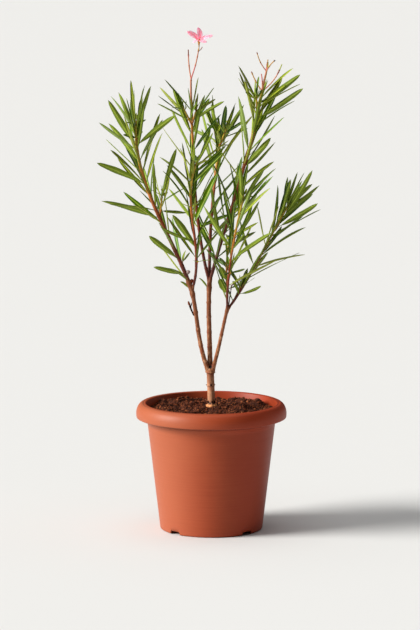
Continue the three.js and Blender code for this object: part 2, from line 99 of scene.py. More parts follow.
def aimed(name, data, place, target):
    """A camera or a lamp that stands at one place and looks at another."""
    thing = linked(name, data)
    place, target = Vector(place) * MM, Vector(target) * MM
    thing.location = place
    thing.rotation_euler = (target - place).to_track_quat("-Z", "Y").to_euler()
    return thing


lens = bpy.data.cameras.new("camera")
lens.lens = CAMERA_LENS
lens.clip_end = 100
bpy.context.scene.camera = aimed("camera", lens, CAMERA_PLACE, CAMERA_TARGET)
bpy.context.scene.view_settings.view_transform = "Standard"
print("camera lens:", lens.lens, "mm")

# %% [markdown]
# Studio light for a plant is one broad soft source, low on the left, a weak one on the right, and a soft
# ceiling. Sun lamps with a wide angle do that evenly over the whole floor, where an area lamp would leave
# the far floor dark. The low key gives the round pot its bright side and its dark side.

# %% Light
LAMPS = {
    "key": {"place": (-3000, -800, 1750), "strength": 5.6, "angle": 28, "tint": (1.0, 0.985, 0.95)},
    "ceiling": {"place": (-300, 200, 4000), "strength": 1.15, "angle": 60, "tint": (1.0, 1.0, 1.0)},
    "fill": {"place": (3000, 1200, 900), "strength": 0.1, "angle": 40, "tint": (0.97, 0.98, 1.0)},
}
SURROUND_TINT = (1.0, 0.995, 0.98, 1.0)
SURROUND_STRENGTH = 0.08
LAMP_TARGET = (0, 0, 300)

for name, lamp in LAMPS.items():
    sun = bpy.data.lights.new(name, "SUN")
    sun.energy = lamp["strength"]
    sun.angle = math.radians(lamp["angle"])
    sun.color = lamp["tint"]
    aimed(name, sun, lamp["place"], LAMP_TARGET)

world = bpy.data.worlds.new("surround")
bpy.context.scene.world = world
world.use_nodes = True
world.node_tree.nodes["Background"].inputs["Color"].default_value = SURROUND_TINT
world.node_tree.nodes["Background"].inputs["Strength"].default_value = SURROUND_STRENGTH
print("lamps:", ", ".join(LAMPS))

# %% [markdown]
# Materials and Geometry Nodes are both node trees, and both do sums. Wiring each sum by hand hides what it
# means, so one small class wraps an output socket and lets Python's own signs add the Math nodes. A number
# on either side works, and vectors go through Vector Math.

# %% Wires that take part in sums
from functools import partialmethod

WHOLE_NUMBER_SLACK = 0.1


class Wire:
    """An output socket that takes part in sums."""

    def __init__(self, net, socket):
        self.net, self.socket = net, socket

    def with_other(self, operation, other, swapped=False):
        """A Math node for two numbers, a Vector Math node where one of them is a vector or a colour."""
        first, second = (other, self) if swapped else (self, other)
        wires = [w for w in (first, second) if isinstance(w, Wire)]
        if not any(w.socket.type in ("VECTOR", "RGBA") for w in wires):
            return self.net("ShaderNodeMath", {"operation": operation}, {0: first, 1: second})
        numbers = [w for w in (first, second) if not isinstance(w, Wire) or w.socket.type == "VALUE"]
        if operation == "MULTIPLY" and numbers and not isinstance(numbers[0], tuple):
            vector = second if numbers[0] is first else first
            return self.net("ShaderNodeVectorMath", {"operation": "SCALE"}, {0: vector, 3: numbers[0]})
        return self.net("ShaderNodeVectorMath", {"operation": operation}, {0: first, 1: second})

    __add__ = partialmethod(with_other, "ADD")
    __radd__ = partialmethod(with_other, "ADD", swapped=True)
    __sub__ = partialmethod(with_other, "SUBTRACT")
    __rsub__ = partialmethod(with_other, "SUBTRACT", swapped=True)
    __mul__ = partialmethod(with_other, "MULTIPLY")
    __rmul__ = partialmethod(with_other, "MULTIPLY", swapped=True)
    __pow__ = partialmethod(with_other, "POWER")
    __lt__ = partialmethod(with_other, "LESS_THAN")
    __gt__ = partialmethod(with_other, "GREATER_THAN")

    def maths(self, operation, *others):
        """Any other Math node, with this wire first."""
        return self.net("ShaderNodeMath", {"operation": operation}, dict(enumerate((self, *others))))

    def size(self):
        """The number without its sign."""
        return self.maths("ABSOLUTE")

    def is_number(self, number):
        """1 where this wire holds that whole number."""
        return self.maths("COMPARE", number, WHOLE_NUMBER_SLACK)

    def part(self, axis):
        """The X, Y or Z of a vector."""
        return self.net("ShaderNodeSeparateXYZ", values={0: self}, out=axis)

    def length(self):
        """How long a vector is."""
        return self.net("ShaderNodeVectorMath", {"operation": "LENGTH"}, {0: self}, out="Value")

    def distance(self, place):
        """How far a vector's place is from another."""
        return self.net("ShaderNodeVectorMath", {"operation": "DISTANCE"}, {0: self, 1: place}, out="Value")


print("a wire turns signs such as + and * into nodes")

# %% [markdown]
# The wires belong to a net. Calling the net adds a node of any kind, with its settings and its inputs, and
# gives back one of its outputs. The few kinds of node that come up again and again have methods of their own.

# %% A net of nodes
class Net:
    """A node tree that adds a node when it is called, and returns one of its outputs."""

    def __init__(self, tree):
        self.tree = tree

    def __call__(self, kind, settings=None, values=None, out=0):
        node = self.tree.nodes.new(kind)
        for name, value in (settings or {}).items():
            setattr(node, name, value)
        for key, value in (values or {}).items():
            self.feed(node.inputs[key], value)
        return Wire(self, node.outputs[out])

    def feed(self, socket, value):
        """Links a wire to an input, or writes a plain value there."""
        if isinstance(value, Wire):
            self.tree.links.new(value.socket, socket)
        else:
            socket.default_value = value

    def noise(self, place, scale, detail=2.0, roughness=0.5):
        """Soft noise about 0.5. A larger scale makes a finer pattern."""
        values = {"Vector": place, "Scale": scale, "Detail": detail, "Roughness": roughness}
        return self("ShaderNodeTexNoise", values=values)

    def cells(self, place, scale):
        """The distance to the nearest of many scattered points."""
        return self("ShaderNodeTexVoronoi", values={"Vector": place, "Scale": scale})

    def combined(self, **parts):
        """A vector of its X, Y and Z."""
        return self("ShaderNodeCombineXYZ", values=parts)

    def blend(self, share, low, high):
        """A colour between two others."""
        return self("ShaderNodeMix", {"data_type": "RGBA"}, {0: share, 6: low, 7: high}, out=2)

    def coated(self, tone, *coats):
        """A tone with coats of colour over it. Each coat is how much of it shows, and its colour."""
        for share, coat in coats:
            tone = self.blend(share, tone, coat)
        return tone

    def step(self, value, start, end):
        """0 below start, 1 above end and smooth between them."""
        settings = {"interpolation_type": "SMOOTHSTEP"}
        values = {"Value": value, "From Min": start, "From Max": end}
        return self("ShaderNodeMapRange", settings, values)


print("methods of a net:", ", ".join(name for name in vars(Net) if not name.startswith("_")))

# %% [markdown]
# A finish is a Principled shader. What varies over the surface comes from a function that is given the net
# and the Object coordinates. What is the same all over is set on the shader's own sockets. Object
# coordinates are metres in the shared frame, so a scale of 1000 makes a pattern of about a millimetre.

# %% Finishes
GRAINS_IN_A_PATCH = 4
MARGIN_SHADE_START = 0.15


def finish(name, paint, fixed=None):
    """A material. paint gives the inputs that vary, and fixed holds those that are the same all over."""
    material = bpy.data.materials.new(name)
    material.use_nodes = True
    net = Net(material.node_tree)
    shader = material.node_tree.nodes["Principled BSDF"]
    for key, value in (fixed or {}).items():
        shader.inputs[key].default_value = value
    place = net("ShaderNodeTexCoord", out="Object")
    for key, value in paint(net, place).items():
        net.feed(shader.inputs[key], value)
    return material


def bump(net, height, distance, strength=1.0):
    """A bump as deep as distance, in millimetres."""
    return net("ShaderNodeBump", values={"Height": height, "Distance": distance * MM, "Strength": strength})


def mottled(name, codes, spread, grain, roughness, height, fixed=None, edge=0.0):
    """A plain natural colour that varies by a small share, with a grain of so many millimetres.

    Where codes holds several tones, they follow each other along the attribute age: 0 is the first,
    1 the second. edge is how much painted shade darkens a blade from its midrib to its margin.
    """
    first, *later = [colour(code) for code in codes.split()]

    def paint(net, place):
        patches = net.noise(place, 1000 / (grain * GRAINS_IN_A_PATCH), 3.0)
        fine = net.noise(place, 1000 / grain, 2.0)
        light = 1 - spread + net.step(patches * 0.6 + fine * 0.4, 0.3, 0.7) * (2 * spread)
        # painted shade: the blade darkens from its midrib towards its margin
        if edge:
            across = net("ShaderNodeAttribute", {"attribute_name": "across"}, out="Fac").size()
            light = light * (1 - net.step(across, MARGIN_SHADE_START, 1.0) * edge)
        tone = net.blend(0.0, first, first)
        if later:
            age = net("ShaderNodeAttribute", {"attribute_name": "age"}, out="Fac") + (patches - 0.5) * 0.6
            for number, next_tone in enumerate(later):
                tone = net.blend(net.step(age, number + 0.1, number + 0.9), tone, next_tone)
        return {
            "Base Color": tone * light,
            "Roughness": roughness + (fine - 0.5) * 0.2,
            "Normal": bump(net, fine, height),
        }

    return finish(name, paint, fixed)


print("finish helpers ready")

# %% [markdown]
# The pot is injection-moulded plastic coloured like terracotta. A lathe makes such a shape: the outline of
# its section is turned round the upright axis. The rim rolls over a hollow lip, the wall leans out, and the
# foot has a raised drainage channel. Blender's Screw modifier would turn a drawn outline in the same way,
# but a list of radii and heights keeps every size of the drawing in view.

# %% Pot: a lathe
def arc(centre, across, degrees):
    """Points of an oval arc, as radius and height."""
    turns = np.radians(degrees)
    return [(centre[0] + across[0] * math.cos(a), centre[1] + across[1] * math.sin(a)) for a in turns]


def lathe(name, profile, turns):
    """Turns an outline, given as radius and height, round the upright axis into a closed mesh."""
    rings = [(r, z) for r, z in profile if r > 0]
    poles = [z for r, z in profile if r == 0]
    angles = np.arange(turns) * 2 * math.pi / turns
    round_points = [(r * math.cos(a), r * math.sin(a), z) for r, z in rings for a in angles]
    places = np.array(round_points + [(0, 0, z) for z in poles]) * MM
    faces = []
    for ring in range(len(rings) - 1):
        for turn in range(turns):
            after = (turn + 1) % turns
            low, high = ring * turns, (ring + 1) * turns
            faces.append((low + turn, low + after, high + after, high + turn))
    bottom, top = len(round_points), len(round_points) + 1
    last = (len(rings) - 1) * turns
    for turn in range(turns):
        after = (turn + 1) % turns
        faces.append((bottom, after, turn))
        faces.append((top, last + turn, last + after))
    mesh = bpy.data.meshes.new(name)
    mesh.from_pydata(places, [], faces)
    mesh.polygons.foreach_set("use_smooth", [True] * len(faces))
    return linked(name, mesh)


print("the lathe closes a section to a shell")

# %% [markdown]
# The section is drawn once, from the middle of the underside round to the middle of the floor. Its height
# and the rim's radius are measured on the frame's pot. Straight runs and oval arcs join the points.

# %% Pot: the turned shell
pot_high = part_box("pot")[1]
POT_HEIGHT = pot_high.z / MM
POT_RIM_RADIUS = pot_high.x / MM
POT_BASE_RADIUS = 82
POT_THROAT_RADIUS = 105.7
POT_WALL = 2.4
POT_CORNER = 3.5
POT_TURNS = 160
CREST_RADIUS = 109
RIM_MIDDLE = 186
LIP_ANGLE = -20
LIP_THICKNESS = 2.2
COLLAR_DROP = 6.5
COLLAR_STEP = 1.4
BEAD_RADIUS = 2.1
PAD_RADIUS = 60
DRAIN_RISE = 5
HOOD_DROP = 3.6
CORNER_WIDTH = 2.5


def wall_radius(z):
    """The outside of the leaning wall at a height."""
    return between(POT_BASE_RADIUS, POT_THROAT_RADIUS, (z - POT_CORNER) / (POT_HEIGHT - POT_CORNER))


def pot_profile():
    """The section from the middle of the underside, up the outside, over the rim and down the inside."""
    rim = (POT_RIM_RADIUS - CREST_RADIUS, POT_HEIGHT - RIM_MIDDLE)
    middle = (CREST_RADIUS, RIM_MIDDLE)
    hollow = (rim[0] - LIP_THICKNESS, rim[1] - LIP_THICKNESS)
    lip_end = (rim[0] - LIP_THICKNESS / 2, rim[1] - LIP_THICKNESS / 2)
    hood_top = POT_HEIGHT - HOOD_DROP
    bead = (wall_radius(POT_HEIGHT) + BEAD_RADIUS - 2, POT_HEIGHT - BEAD_RADIUS)
    floor_top = DRAIN_RISE + POT_WALL
    collar = RIM_MIDDLE + rim[1] * math.sin(math.radians(LIP_ANGLE)) - COLLAR_DROP
    corner = (POT_BASE_RADIUS - CORNER_WIDTH, POT_CORNER)
    return [
        # the flat pad in the middle, the drainage channel and the ring that the pot stands on
        (0, 0),
        (PAD_RADIUS - 0.6, 0),
        (PAD_RADIUS + 0.4, 0.5),
        (PAD_RADIUS + 2, DRAIN_RISE),
        (POT_BASE_RADIUS - 7, DRAIN_RISE),
        (POT_BASE_RADIUS - 5.4, 0.5),
        (POT_BASE_RADIUS - 4.6, 0),
        *arc(corner, (CORNER_WIDTH, POT_CORNER), np.linspace(-90, -5, 8)),
        # the wall up to the collar, and on under the lip
        *[(wall_radius(z), z) for z in np.linspace(POT_CORNER + 1, collar - 0.3, 24)],
        (wall_radius(collar) + COLLAR_STEP * 0.8, collar),
        (wall_radius(collar) + COLLAR_STEP, collar + 0.5),
        (wall_radius(hood_top), hood_top),
        # the hollow of the lip, its lower edge and the rolled rim
        *arc(middle, hollow, np.linspace(75, LIP_ANGLE + 3, 12)),
        *arc(middle, lip_end, [LIP_ANGLE - 3]),
        *arc(middle, rim, np.linspace(LIP_ANGLE + 1, 86, 26)),
        # the groove in the crest and the bead inside it
        (CREST_RADIUS - 0.3, POT_HEIGHT - 0.35),
        (CREST_RADIUS - 0.8, POT_HEIGHT - 0.5),
        (CREST_RADIUS - 1.4, POT_HEIGHT - 0.35),
        *arc(bead, (BEAD_RADIUS, BEAD_RADIUS), np.linspace(60, 180, 9)),
        # down the inner wall to the floor
        *[(wall_radius(z) - POT_WALL, z) for z in np.linspace(POT_HEIGHT - 4, floor_top + 2, 20)],
        (wall_radius(floor_top) - POT_WALL - 2, floor_top),
        (PAD_RADIUS, floor_top),
        (PAD_RADIUS - 2.5, POT_WALL),
        (0, POT_WALL),
    ]


pot = lathe("pot_shell", pot_profile(), POT_TURNS)
print("pot shell:", len(pot.data.polygons), "faces")

# %% [markdown]
# Water leaves the pot through notches at the foot and holes in the channel. A Boolean modifier cuts each of
# them. The cutters are plain boxes and rods, which are removed afterwards. A notch has a second, narrower
# box above the first, so that its upper corners are cut off as in a mould.

# %% Pot: notches and holes
SLOT_WIDTH = 20
SLOT_HEIGHT = 5.4
SLOT_ROOF = 1.2
SLOT_INWARD = 9
SLOT_OUTWARD = 8
SLOT_ANGLES = (-135, -46, 43, 132)
DRAIN_HOLES = 6
DRAIN_HOLE_RADIUS = 4.5
ROD_HEIGHTS = (1, 9)
ROD_SIDES = 24
ROD_TURN = 4


def prism(outline, low, high, degrees):
    """Corners and faces of an upright prism over a flat outline, turned round the pot's axis."""
    turn = math.radians(degrees)
    cos, sin = math.cos(turn), math.sin(turn)
    flat = [(x * cos - y * sin, x * sin + y * cos) for x, y in outline]
    count = len(flat)
    corners = [(x, y, z) for z in (low, high) for x, y in flat]
    sides = [(i, (i + 1) % count, (i + 1) % count + count, i + count) for i in range(count)]
    return corners, [tuple(reversed(range(count))), tuple(range(count, 2 * count)), *sides]


def cutters():
    """The corners and faces of every cutter: the boxes of the notches, their roofs and the rods."""
    near, far = POT_BASE_RADIUS - SLOT_INWARD, POT_BASE_RADIUS + SLOT_OUTWARD
    boxes = [(SLOT_WIDTH / 2, -2, SLOT_HEIGHT - SLOT_ROOF), (SLOT_WIDTH / 2 - SLOT_ROOF, -1, SLOT_HEIGHT)]
    shapes = []
    for half, low, high in boxes:
        slot = [(near, -half), (far, -half), (far, half), (near, half)]
        shapes += [prism(slot, low, high, angle) for angle in SLOT_ANGLES]
    middle = ((PAD_RADIUS + POT_BASE_RADIUS - 5) / 2, 0)
    turns = ROD_TURN + 360 / ROD_SIDES * np.arange(ROD_SIDES)
    rod = arc(middle, (DRAIN_HOLE_RADIUS, DRAIN_HOLE_RADIUS), turns)
    return shapes + [prism(rod, *ROD_HEIGHTS, 360 * i / DRAIN_HOLES) for i in range(DRAIN_HOLES)]


def applied(piece, name=None):
    """The piece as a plain mesh, with what its modifiers make of it."""
    graph = bpy.context.evaluated_depsgraph_get()
    seen = piece.evaluated_get(graph)
    mesh = bpy.data.meshes.new_from_object(seen, preserve_all_data_layers=True, depsgraph=graph)
    name = name or piece.name
    bpy.data.objects.remove(piece)
    mesh.name = name
    return linked(name, mesh)


cutting = []
for corners, faces in cutters():
    mesh = bpy.data.meshes.new("cutter")
    mesh.from_pydata([tuple(c * MM for c in corner) for corner in corners], [], faces)
    cutting.append(linked("cutter", mesh))
    cut = pot.modifiers.new("cut", "BOOLEAN")
    cut.object = cutting[-1]
    cut.operation = "DIFFERENCE"
    cut.solver = "EXACT"
pot = applied(pot, "pot_shell")
for cutter in cutting:
    bpy.data.objects.remove(cutter)
print("pot with its notches:", len(pot.data.polygons), "faces")

# %% [markdown]
# The plastic has a satin gloss and faint lines that run round the wall, as a mould leaves them. They are
# noise in coordinates of radius and height, so it barely changes on the way round. The outside is painted
# paler on the side towards the key lamp, a painted sheen, and a deeper red is painted on the side away from
# it, a painted shade. Painted shade also darkens the notches and the corner under the lip.

# %% Pot: satin terracotta plastic
TERRACOTTA = colour("A24526")
TERRACOTTA_LINE = colour("963C20")
TERRACOTTA_DUSTY = colour("AA502E")
# painted light: a paler tone for the sheen on the side towards the key lamp, and a deeper red for the side
# away from it
TERRACOTTA_PAINTED_SHEEN = colour("A65E40")
TERRACOTTA_PAINTED_FAR_SIDE = colour("952E10")
POT_PAINTED_SHADE = colour("3A150C")
LINE_SCALE = 700
ROUND_SCALE = 11
KEY_LAMP_SIDE = (-0.98, -0.17)
MOUTH_LOW, MOUTH_RADIUS = 0.185, 0.107
LIP_LOW, LIP_DARK, LIP_TOP = 0.1738, 0.1796, 0.184
LIP_INNER, LIP_OUTER = 0.1036, 0.109
NOTCH_TOP, NOTCH_RADIUS = 0.0053, 0.0803


def terracotta(net, place):
    """What varies in the pot's plastic. Heights and radii are in metres here."""
    radius = (place * (1.0, 1.0, 0.0)).length()
    x, y, height = [place.part(axis) for axis in "XYZ"]
    lines = net.combined(X=radius * LINE_SCALE, Y=height * LINE_SCALE, Z=(x + y * 0.6) * ROUND_SCALE)
    broad = net.noise(place, 14, 2.0)
    turned = net.noise(lines, 1.0, 4.0, 0.7)
    speck = net.noise(place, 900, 2.0)
    inside = (height > MOUTH_LOW) * (radius < MOUTH_RADIUS)
    toward_key_lamp = x * KEY_LAMP_SIDE[0] + y * KEY_LAMP_SIDE[1]
    # painted shade under the lip, and in the notches and the drainage channel of the foot
    painted_shade_under_lip = net.step(height, LIP_LOW, LIP_DARK) * (radius < LIP_OUTER) * (radius > LIP_INNER)
    painted_shade_under_lip = painted_shade_under_lip * (height < LIP_TOP)
    painted_shade_in_notch = (height < NOTCH_TOP) * (radius < NOTCH_RADIUS)
    tone = net.coated(
        net.blend(net.step(turned, 0.35, 0.7) * 0.7, TERRACOTTA, TERRACOTTA_LINE),
        (net.step(broad, 0.45, 0.75) * 0.35, TERRACOTTA_DUSTY),
        # painted sheen on the outside towards the key lamp, and painted shade as a deeper red on the far
        # side, inside and out
        (net.step(toward_key_lamp, 0.0, 0.1) * 0.7 * (1 - inside), TERRACOTTA_PAINTED_SHEEN),
        ((1 - net.step(toward_key_lamp, -0.05, 0.015)) * 0.6, TERRACOTTA_PAINTED_FAR_SIDE),
        (painted_shade_under_lip * 0.8 + painted_shade_in_notch * 0.85, POT_PAINTED_SHADE),
    )
    return {
        "Base Color": tone,
        "Roughness": 0.4 + turned * 0.14 + (broad - 0.5) * 0.08,
        "Normal": bump(net, turned * 0.8 + speck * 0.2, 0.12, 0.8),
    }


pot.data.materials.append(finish("satin_terracotta", terracotta, {"Specular IOR Level": 0.22}))
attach(pot, "root")
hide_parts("pot")
print("pot finished")

# %% [markdown]
# Shapes that a rule makes come from Geometry Nodes. Each tree has named inputs, ends in Realize Instances
# and runs as a modifier on a source object, and the result is kept as a plain mesh. A mesh can hold several
# finishes: Set Material gives each face the one whose number an attribute holds.

# %% Geometry Nodes helpers
def new_tree(name, inputs):
    """An empty Geometry Nodes tree with named inputs, its net and the wires of its inputs."""
    tree = bpy.data.node_groups.new(name, "GeometryNodeTree")
    tree.interface.new_socket("Geometry", in_out="INPUT", socket_type="NodeSocketGeometry")
    for label, kind in inputs.items():
        tree.interface.new_socket(label, in_out="INPUT", socket_type="NodeSocket" + kind)
    tree.interface.new_socket("Geometry", in_out="OUTPUT", socket_type="NodeSocketGeometry")
    net = Net(tree)
    start = tree.nodes.new("NodeGroupInput")
    wires = {socket.name: Wire(net, socket) for socket in start.outputs if socket.name}
    return tree, net, wires


def finished_tree(net, geometry):
    """Ends a tree in Realize Instances, so that nothing is left as an instance."""
    whole = net("GeometryNodeRealizeInstances", values={"Geometry": geometry})
    end = net.tree.nodes.new("NodeGroupOutput")
    net.feed(end.inputs["Geometry"], whole)


def named(net, name, kind="FLOAT"):
    """What an attribute holds at each point or face."""
    return net("GeometryNodeInputNamedAttribute", {"data_type": kind}, {"Name": name})


def stored(net, geometry, name, kind, domain, value):
    """The geometry with a value kept as an attribute."""
    settings = {"data_type": kind, "domain": domain}
    values = {"Geometry": geometry, "Name": name, "Value": value}
    return net("GeometryNodeStoreNamedAttribute", settings, values)


def pushed(net, geometry, offset):
    """The geometry with each point moved by an offset, and shaded smooth."""
    moved = net("GeometryNodeSetPosition", values={"Geometry": geometry, "Offset": offset})
    return net("GeometryNodeSetShadeSmooth", values={"Geometry": moved})


def grown(name, source, tree, **values):
    """Runs a tree on a source object and keeps the result as a plain mesh."""
    modifier = source.modifiers.new(tree.name, "NODES")
    modifier.node_group = tree
    for item in tree.interface.items_tree:
        if item.item_type == "SOCKET" and item.in_out == "INPUT" and item.name in values:
            modifier[item.identifier] = values[item.name]
    piece = applied(source, name)
    print(name + ":", sum(len(face.vertices) - 2 for face in piece.data.polygons), "triangles")
    return piece


def painted(net, geometry, finishes, chosen):
    """Gives each face the finish whose number the field chosen holds."""
    for number, material in enumerate(finishes):
        values = {"Geometry": geometry, "Selection": chosen.is_number(number), "Material": material}
        geometry = net("GeometryNodeSetMaterial", values=values)
    return geometry


print("node tree helpers ready")

# %% [markdown]
# Compost is a lumpy, crumbly surface. A lathe gives the gentle mound that falls away from the stem to the
# pot's wall, and Geometry Nodes raise it by three sizes of noise, so that lumps sit on lumps. Five low
# heaps are listed one by one. It could be sculpted too, but a rule gives the same surface each time.

# %% Compost: the lumpy surface
SOIL_DROP = 0.9
SOIL_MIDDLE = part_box("soil")[1].z / MM - SOIL_DROP
SOIL_EDGE = 190.5
SOIL_CLEARANCE = 0.3
SOIL_FLAT_RADIUS = 14
SOIL_FOOT = 170
SOIL_TURNS = 300
EDGE_BAND = 3
BARE_ROUND_STEM = (0.009, 0.03)
HEAPS = [(-50, 58, 7, 26), (46, 60, 6, 24), (74, 40, 6, 16), (-72, -24, 3, 26), (30, -60, 2.5, 30)]


def inner_radius(z):
    """The inside of the pot's wall at a height."""
    return wall_radius(z) - POT_WALL


def soil_height(radius):
    """The mound is flat round the stem and falls away ever faster towards the wall."""
    edge = inner_radius(SOIL_EDGE)
    share = max(0.0, (radius - SOIL_FLAT_RADIUS) / (edge - SOIL_FLAT_RADIUS))
    return SOIL_MIDDLE - (SOIL_MIDDLE - SOIL_EDGE) * share ** 2


def soil_profile():
    """The compost's section: down inside the pot, up along its wall and over the mound."""
    edge, foot = inner_radius(SOIL_EDGE) - SOIL_CLEARANCE, inner_radius(SOIL_FOOT) - SOIL_CLEARANCE
    return [
        (0, SOIL_FOOT),
        (foot - 1, SOIL_FOOT),
        *[(between(foot, edge, share), between(SOIL_FOOT, SOIL_EDGE, share)) for share in (0.05, 0.5, 1)],
        *[(r, soil_height(r)) for r in np.arange(edge - 1, 1, -1.0)],
        (0, SOIL_MIDDLE),
    ]


def lumps_tree():
    """Raises the compost's top by noise of three sizes and by the heaps."""
    tree, net, given = new_tree("raise_lumps", {"Lump": "Float", "Clod": "Float", "Grain": "Float"})
    place = net("GeometryNodeInputPosition")
    flat = place * (1.0, 1.0, 0.0)
    on_top = net.step(place.part("Z"), (SOIL_EDGE - EDGE_BAND) * MM, SOIL_EDGE * MM)
    free = net.step(flat.length(), *BARE_ROUND_STEM) * on_top
    broad = (net.noise(flat, 30, 1.0) - 0.47) * given["Lump"]
    clods = (net.noise(flat, 110, 2.0) - 0.5) * given["Clod"]
    grains = (net.noise(place, 560, 3.0, 0.65) - 0.5) * given["Grain"]
    rise = (broad + clods) * free + grains * on_top
    for x, y, high, wide in HEAPS:
        reach = flat.distance((x * MM, y * MM, 0.0))
        rise = rise + (1 - net.step(reach, 0.0, wide * MM)) * (high * MM) * free
    finished_tree(net, pushed(net, given["Geometry"], net.combined(Z=rise)))
    return tree


compost = lathe("compost_base", soil_profile(), SOIL_TURNS)
compost = grown("compost", compost, lumps_tree(), Lump=22 * MM, Clod=11 * MM, Grain=3.8 * MM)

# %% [markdown]
# On the surface lie loose crumbs and small clods. Distribute Points scatters them over the faces that look
# up, Instance on Points puts a small rough ball on each, and Realize Instances makes them real meshes.
# The balls are squashed and turned at random with a fixed seed, and dents come from noise.

# %% Compost: crumbs and clods
COMPOST_TONES = ["5C2A14", "763A1F", "8C4E2D", "3A190C"]
SOIL_RADIUS = 0.1005
STEM_CLEARANCE = 0.0115
LEAST_UPWARD = 0.35
DENT = 1.6
CRUMBS = {"Density": 2.4e5, "Smallest": 0.7 * MM, "Largest": 2.3 * MM, "Fineness": 1, "Seed": 4}
CLODS = {"Density": 2.2e4, "Smallest": 1.9 * MM, "Largest": 5.2 * MM, "Fineness": 2, "Seed": 9}

compost_finishes = [
    mottled(f"compost_{i}", code, 0.35, 1.1, 0.93, 0.3, {"Specular IOR Level": 0.2})
    for i, code in enumerate(COMPOST_TONES)
]


def crumbs_tree():
    """Scatters small rough balls over the faces that look up. One tree serves crumbs and clods."""
    inputs = {"Density": "Float", "Smallest": "Float", "Largest": "Float", "Fineness": "Int", "Seed": "Int"}
    tree, net, given = new_tree("scatter_crumbs", inputs)
    kinds = ["FLOAT_VECTOR", "FLOAT", "INT"]

    def drawn(kind, low, high):
        """A value of each crumb's own between two limits."""
        pair = kinds.index(kind)
        values = {2 * pair: low, 2 * pair + 1: high, "Seed": given["Seed"]}
        return net("FunctionNodeRandomValue", {"data_type": kind}, values, out=pair)

    normal, place = net("GeometryNodeInputNormal"), net("GeometryNodeInputPosition")
    radius = (place * (1.0, 1.0, 0.0)).length()
    inside = (radius < SOIL_RADIUS) * (radius > STEM_CLEARANCE) * (normal.part("Z") > LEAST_UPWARD)
    scatter = {"Mesh": given["Geometry"], "Selection": inside}
    scatter |= {"Density": given["Density"], "Seed": given["Seed"]}
    points = net("GeometryNodeDistributePointsOnFaces", values=scatter)
    ball = net("GeometryNodeMeshIcoSphere", values={"Radius": 0.5, "Subdivisions": given["Fineness"]})
    width = between(given["Smallest"], given["Largest"], drawn("FLOAT", 0.0, 1.0) ** 2.5)
    squash = drawn("FLOAT_VECTOR", (0.7, 0.7, 0.55), (1.3, 1.2, 0.95))
    turn = drawn("FLOAT_VECTOR", (-0.6, -0.6, 0.0), (0.6, 0.6, 6.28))
    put = {"Points": points, "Instance": ball, "Rotation": turn, "Scale": squash * width}
    balls = net("GeometryNodeInstanceOnPoints", values=put)
    balls = stored(net, balls, "tone", "INT", "INSTANCE", drawn("INT", 0, len(COMPOST_TONES) - 1))
    real = net("GeometryNodeRealizeInstances", values={"Geometry": balls})
    dent = net.noise(place, 700, 1.0) - 0.5
    dented = pushed(net, real, normal * (dent * (DENT * MM)))
    finished_tree(net, painted(net, dented, compost_finishes, named(net, "tone", "INT")))
    return tree


scatter = crumbs_tree()
crumbs = grown("compost_crumbs", linked("crumb_ground", compost.data.copy()), scatter, **CRUMBS)
clods = grown("compost_clods", linked("clod_ground", compost.data.copy()), scatter, **CLODS)
compost.data.materials.append(compost_finishes[-1])
for piece in (compost, crumbs, clods):
    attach(piece, "root")
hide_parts("soil")

# %% [markdown]
# Every woody part and every shoot follows a smooth curve: a Bezier with a foot, two points that it bends by
# and a tip. The curve is measured once, so that a share of its length finds a place on it. These are the
# same routes, forks and radii that the frame's solids have.

# %% Stems as curves
DIVISIONS = 200


class Stem:
    """A tapering stem along a Bezier curve. at() and heading() take shares of its length.

    thick holds the radii that the rule keeps clear of, and shown the radii that are swept.
    """

    def __init__(self, path, thick, fresh=0.6, shown=None):
        self.path = np.array(path, float)
        self.thick, self.shown, self.fresh = thick, shown or thick, fresh
        places = self.point(np.linspace(0, 1, DIVISIONS + 1))
        self.reached = np.append(0, np.cumsum(np.linalg.norm(np.diff(places, axis=0), axis=1)))
        self.length = self.reached[-1]

    def point(self, t):
        """The place at the curve's own parameter t."""
        foot, first, second, tip = self.path
        t = np.asarray(t, float)[..., None]
        left = 1 - t
        return left ** 3 * foot + 3 * left ** 2 * t * first + 3 * left * t * t * second + t ** 3 * tip

    def parameter(self, share):
        """The curve's own parameter at a share of its length."""
        return np.interp(np.asarray(share) * self.length, self.reached, np.linspace(0, 1, DIVISIONS + 1))

    def at(self, share):
        """The place at a share of the length."""
        return self.point(self.parameter(share))

    def heading(self, share):
        """The direction at a share of the length."""
        t = self.parameter(share)[..., None]
        legs = np.diff(self.path, axis=0)
        return unit((1 - t) ** 2 * legs[0] + 2 * (1 - t) * t * legs[1] + t * t * legs[2])

    def radius(self, share, shown=False):
        return between(*(self.shown if shown else self.thick), np.asarray(share))


LEFT_FORK = (-31, -14, 385)
CENTRE_FORK = (-3, 18, 393)
RIGHT_FORK = (25, -12, 354)
TRUNK_TOP = (-1.7, 0, 250)
TRUNK_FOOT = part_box("trunk")[0].z / MM
TRUNK = Stem([(0, 0, TRUNK_FOOT), (0, 0, 215), (-1, 0, 232), TRUNK_TOP], (6.2, 5.6))
LEFT = Stem([(-3, -1, 250), (-23, -3, 297), (-21, -8, 342), LEFT_FORK], (3.6, 3.2))
CENTRE = Stem([(-2, 1, 250), (-2, 8, 304), (-6, 13, 348), CENTRE_FORK], (3.8, 3.3), shown=(4.1, 3.5))
RIGHT = Stem([(0, -1, 250), (12, -5, 288), (17, -9, 322), RIGHT_FORK], (2.9, 2.4), shown=(3.3, 2.6))
LEFT_OUTER = Stem(
    [LEFT_FORK, (-60, -20, 473), (-123, -26, 555), (-118, -32, 649)], (2.7, 1.5), 0.56, (3.1, 2.1))
LEFT_INNER = Stem(
    [LEFT_FORK, (-8, -35, 453), (-48, -57, 523), (-25, -78, 591)], (2.1, 1.3), 0.6, (2.0, 1.6))
